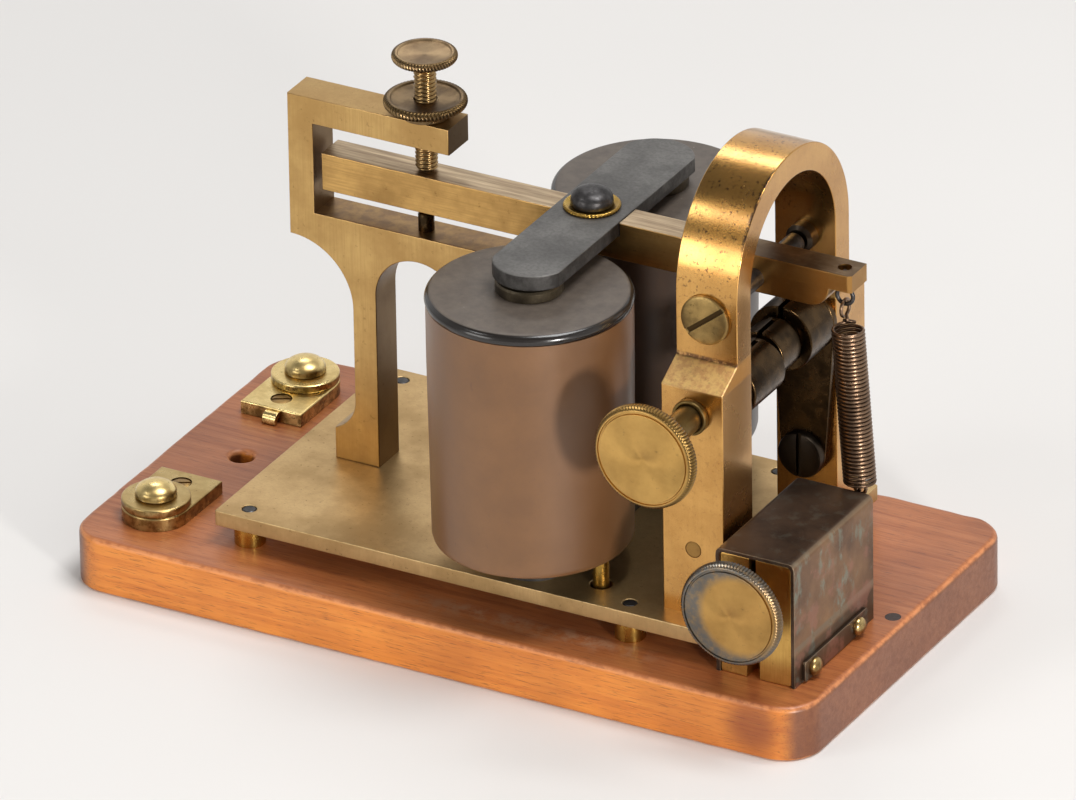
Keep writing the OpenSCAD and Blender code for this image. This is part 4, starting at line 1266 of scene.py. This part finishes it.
def make_armature():
    """The iron bar with round ends, and the roped washer and domed screw on top of it."""
    lo, hi = box("armature")
    x, half_w, half_l, end_r = (lo.x + hi.x) / 2, (hi.x - lo.x) / 2, (hi.y - lo.y) / 2, 7.4
    corner = bearing(sqrt(end_r ** 2 - half_w ** 2), half_w)
    end_y = half_l - end_r
    outline = arc(x, end_y, end_r, corner, 180 - corner, 28)
    outline += arc(x, -end_y, end_r, 180 + corner, 360 - corner, 28)
    bm = slab(bmesh.new(), [outline], lo.z, hi.z, upright(), 0.28)
    piece("armature_bar", bm, "lever", "iron", ["armature"])
    low, top, centre, _ = measure("armature_screw")
    place = upright(centre.x, centre.y)
    lo, hi, _, r = measure("armature_washer")
    bore = 1.95
    profile = [(bore, lo.z + 0.02)] + oval(r - 0.45, (lo.z + hi.z) / 2, 0.45, 0.38, -90, 91, 18)
    profile += [(r - 0.9, hi.z - 0.25), (bore, hi.z - 0.25)]
    shape = rope(WASHER_TEETH, r, 0.16, 0.7, r - 0.7)
    bm = hollow(bmesh.new(), profile, place, WASHER_TEETH * 6, shape)
    piece("roped_washer", bm, "lever", "knob_brass", ["armature_washer"], finish="bright_brass")
    seat, shank_r, head_r = hi.z - 0.2, 1.85, 3.9
    profile = [(shank_r, low.z), (shank_r, seat), (3.75, seat), (3.95, seat + 0.4), (head_r, seat + 1.0)]
    rise = top.z - seat - 1.0
    profile += [(head_r * cos(a) ** 0.8, seat + 1.0 + rise * sin(a)) for a in angles(15, 88, 9)]
    bm = solid(bmesh.new(), profile, place, 56)
    piece("armature_dome_screw", bm, "lever", "steel", ["armature_screw"])


# ---------- lever and spring ----------

TAIL_X, TAIL_TIP = 57.9, 3.4
EYE_X, EYE_HOLE_R = 63.6, 1.3
NOTCH_ROOM = 0.05


def make_lever():
    """The brass bar: notched for the armature, thinner at its tail, with one tail corner cut off."""
    lo, hi = box("lever_bar")
    step_r = hi.z - lo.z - TAIL_TIP
    low, high = box("armature")
    near, far = low.x - NOTCH_ROOM, high.x + NOTCH_ROOM
    outline = [(lo.x, lo.z), (TAIL_X, lo.z)]
    outline += [(TAIL_X + step_r * sin(a), hi.z - TAIL_TIP - step_r * cos(a)) for a in angles(10, 91, 10)]
    outline += [(hi.x, hi.z - TAIL_TIP), (hi.x, hi.z), (far, hi.z), (far, low.z - 0.02)]
    outline += [(near, low.z - 0.02), (near, hi.z), (lo.x, hi.z)]
    bm = slab(bmesh.new(), [outline], lo.y, hi.y, along_y(), 0.2)
    corner = Vector((hi.x + 0.6, lo.y - 1.0, (lo.z + hi.z) / 2))
    half = Vector((5, 1.6, 8))
    bm = carve(bm, drill(EYE_HOLE_R, upright(EYE_X, 0), lo.z - 1, hi.z + 1),
               block(corner - half, corner + half, Matrix.Rotation(radians(30), 4, "Z")))
    piece("lever_beam", bm, "lever", "lever_brass", ["lever_bar"])


def make_lever_arbor():
    lo, hi, centre, r = measure("lever_arbor")
    bore = 0.95
    profile = [(bore, lo.y), (r - 0.3, lo.y), (r, lo.y + 0.3), (r, hi.y - 0.3), (r - 0.3, hi.y)]
    profile += [(bore, hi.y)]
    bm = solid(bmesh.new(), profile, along_y(centre.x, centre.z), 40)
    piece("lever_arbor_turned", bm, "lever", "steel", ["lever_arbor"])


SPRING_TURNS = 40
SPRING_POINTS = 18
SPRING_BOTTOM, SPRING_TOP = Vector((66.4, 0, 36.1)), Vector((64.1, 0, 67.2))
SPRING_R, WIRE_R = 3.08, 0.33
LOOP_R, LOOP_Z = 1.6, 70.9
HOOK_R, EYE_WIRE_R = 1.1, 0.4
ALL_SMOOTH = 80


def make_spring():
    """Close-wound coils with a loop at each end, as one wire."""
    axis = SPRING_TOP - SPRING_BOTTOM
    along = axis.normalized()
    side = Vector((0, 1, 0))
    across = side.cross(along)
    coil_r = SPRING_R - WIRE_R
    count = SPRING_TURNS * SPRING_POINTS
    coils = []
    for i in range(count + 1):
        a = 2 * pi * i / SPRING_POINTS
        centre = SPRING_BOTTOM + along * (WIRE_R + (axis.length - 2 * WIRE_R) * i / count)
        coils.append(centre + (side * cos(a) + across * sin(a)) * coil_r)
    loop = [Vector((EYE_X, LOOP_R * sin(a), LOOP_Z - LOOP_R * cos(a))) for a in angles(14, 340, 14)]
    link = smooth_path([coils[-1], SPRING_TOP + side * 1.3 + along * 0.5 - across * 1.3,
                        SPRING_TOP + along * 1.1, loop[0]], 6)
    hook_centre = SPRING_BOTTOM - along * 0.9
    hook = [hook_centre + (across * sin(a) + along * cos(a)) * HOOK_R for a in angles(-300, -29, 18)]
    lead = smooth_path([hook[-1], SPRING_BOTTOM + side * 0.9 + along * 0.35, coils[0]], 6)
    bm = tube(bmesh.new(), hook[:-1] + lead[:-1] + coils[:-1] + link[:-1] + loop, WIRE_R, 8)
    piece("retractile_helix", bm, "lever", "copper_wire", ["retractile_spring"], sharp=ALL_SMOOTH)


def make_eye():
    """A wire eye that hangs from the lever's tail, its shank riveted in the hole."""
    lo, hi = box("lever_eye")
    centre_z = lo.z + EYE_WIRE_R + LOOP_R
    loop = [Vector((EYE_X + LOOP_R * sin(a), 0, centre_z + LOOP_R * cos(a))) for a in angles(25, 350, 13)]
    stem = smooth_path([loop[-1], (EYE_X, 0, centre_z + LOOP_R + 0.5), (EYE_X, 0, hi.z)], 5)
    bm = tube(bmesh.new(), loop[:-1] + stem, EYE_WIRE_R, 10)
    piece("tail_eye", bm, "lever", "steel", ["lever_eye"], sharp=ALL_SMOOTH)


# ---------- spring winder ----------

SHEET = 0.8
COVER_SCREW_Y = (-26.7, -9.9)


def make_cover():
    """Folded sheet: two walls and a top with rounded folds, and the strip that holds its foot down."""
    lo, hi = box("winder_cover")
    walls = [(lo.x, lo.z), (lo.x, hi.z), (hi.x, hi.z), (hi.x, lo.z)]
    left, right, top = lo.x + SHEET, hi.x - SHEET, hi.z - SHEET
    inner = [(right, lo.z), (right, top), (left, top), (left, lo.z)]
    outline = soften(walls, 1.5, 6) + soften(inner, 0.7, 4)
    bm = slab(bmesh.new(), [outline], lo.y, hi.y, along_y(), 0.14)
    piece("folded_cover", bm, "base", "sheet_patina", ["winder_cover"])
    lo, hi = box("cover_strip")
    strip = soften(rectangle(lo.y, lo.z, hi.y, hi.z), 0.8, 4, True)
    bm = slab(bmesh.new(), [strip], lo.x + 0.01, hi.x, along_x(), 0.15)
    piece("cover_foot_strip", bm, "base", "sheet_patina", ["cover_strip"])


def make_cover_screws():
    lo, hi, centre, _ = measure("cover_screws")
    strip, shank_r, head_r = box("cover_strip")[1].x, 1.1, 1.8
    head = [(shank_r, lo.x), (shank_r, strip), (head_r - 0.1, strip + 0.02), (head_r, strip + 0.3)]
    head += oval(0, strip + 0.3, head_r, hi.x - strip - 0.3, 15, 88, 12)
    bm = bmesh.new()
    for y in COVER_SCREW_Y:
        solid(bm, head, along_x(y, centre.z), 40)
    piece("round_cover_screws", bm, "base", "terminal_brass", ["cover_screws"])


def make_blocks():
    """Two brass cheeks with the slit between them, standing just inside the folded sheet."""
    lo, hi = box("winder_blocks")
    x, z = middle("winder_knob").x, middle("winder_knob").z
    slit = 0.7
    bm = bmesh.new()
    outline = soften(rectangle(lo.x + 0.02, lo.z, hi.x - 0.02, hi.z - 0.02), 0.6, 4, True)
    slab(bm, [outline], lo.y, hi.y, along_y(), 0.2)
    bm = carve(bm, block((x - slit, lo.y - 1, lo.z + 3), (x + slit, hi.y + 1, hi.z + 1)),
               drill(2.35, along_y(x, z), lo.y - 1, hi.y + 1),
               block((x - 1.2, lo.y - 1, lo.z - 1), (x + 1.4, lo.y + 4, lo.z + 5)))
    piece("clamping_cheeks", bm, "base", "knob_brass", ["winder_blocks"], finish="cheek_brass")


def make_winder():
    """The winder's arbor, with the hole for the cord's end, and the drum between its flanges."""
    lo, hi, centre, r = measure("winder_arbor")
    place = along_y(centre.x, centre.z)
    bm = solid(bmesh.new(), [(r, lo.y), (r, hi.y - 0.4), (r - 0.4, hi.y)], place, 48)
    bm = carve(bm, drill(0.6, place, hi.y - 1.6, hi.y + 1, 16))
    piece("winder_arbor_turned", bm, "winder", "fastener_brass", ["winder_arbor"])
    lo, hi, _, flange = measure("winder_drum")
    bore, drum = r + 0.02, 4.2
    profile = [(bore, lo.y), (flange - 0.15, lo.y), (flange, lo.y + 0.12), (flange, lo.y + 0.4)]
    profile += [(drum + 0.1, lo.y + 0.5), (drum - 0.15, 0), (drum + 0.1, hi.y - 0.5), (flange, hi.y - 0.4)]
    profile += [(flange, hi.y - 0.12), (flange - 0.15, hi.y), (bore, hi.y)]
    bm = hollow(bmesh.new(), profile, place, 56)
    piece("grooved_drum", bm, "winder", "fastener_brass", ["winder_drum"])


CORD_RESERVE = 3.4
STRAND_STEP, STRAND_TURN = 0.16, 0.55


def make_cord():
    """Two strands laid round each other, with enough inside the spring for the cord to be wound down."""
    lo, hi = box("tension_cord")
    hi = hi + Vector((0, 0, CORD_RESERVE))
    centre, r = (lo + hi) / 2, (hi.x - lo.x) / 2
    rise = hi.z - lo.z
    steps = int(rise / STRAND_STEP)
    bm = bmesh.new()
    for phase in (0, pi):
        turns = [k * STRAND_TURN + phase for k in range(steps + 1)]
        points = [(centre.x + 0.42 * r * cos(a), 0.42 * r * sin(a), lo.z + rise * k / steps)
                  for k, a in enumerate(turns)]
        tube(bm, points, r * 0.56, 8)
    piece("laid_cord", bm, "cord", "copper_wire", ["tension_cord"], sharp=ALL_SMOOTH)


# ---------- build ----------

floor = make_stage()
floor.data.materials.append(make_floor_material())
materials = make_materials()
for part in frame["record"]["subparts"]:
    node = frame["nodes"][part["node"]]
    node.data.materials.clear()
    node.data.materials.append(materials[part["material_slot"]])

for make in (make_board, make_plate, make_posts, make_screw_ends):
    make()
make_terminal(-1, "front_terminal_plate", "front_terminal")
make_terminal(1, "back_terminal_plate", "back_terminal")
make_terminal_screws()
make_binding("front_binding", "front_binding")
make_binding("back_binding", "back_binding")
for make in (make_anvil, make_stop_pin, make_adjusting_screw, make_adjusting_head, make_lock_nut,
             make_arch, make_trunnions, make_yoke, make_yoke_screws):
    make()
make_large_knob("upper_knob_knurled", "upper_knob", "upper_arbor")
make_large_knob("winder_knob_knurled", "winder_knob", "winder")
for make in (make_upper_arbor, make_coils, make_poles, make_lead_bushings, make_armature, make_lever,
             make_lever_arbor, make_spring, make_eye, make_cover, make_cover_screws, make_blocks,
             make_winder, make_cord):
    make()

bpy.context.scene.view_settings.view_transform = "Standard"
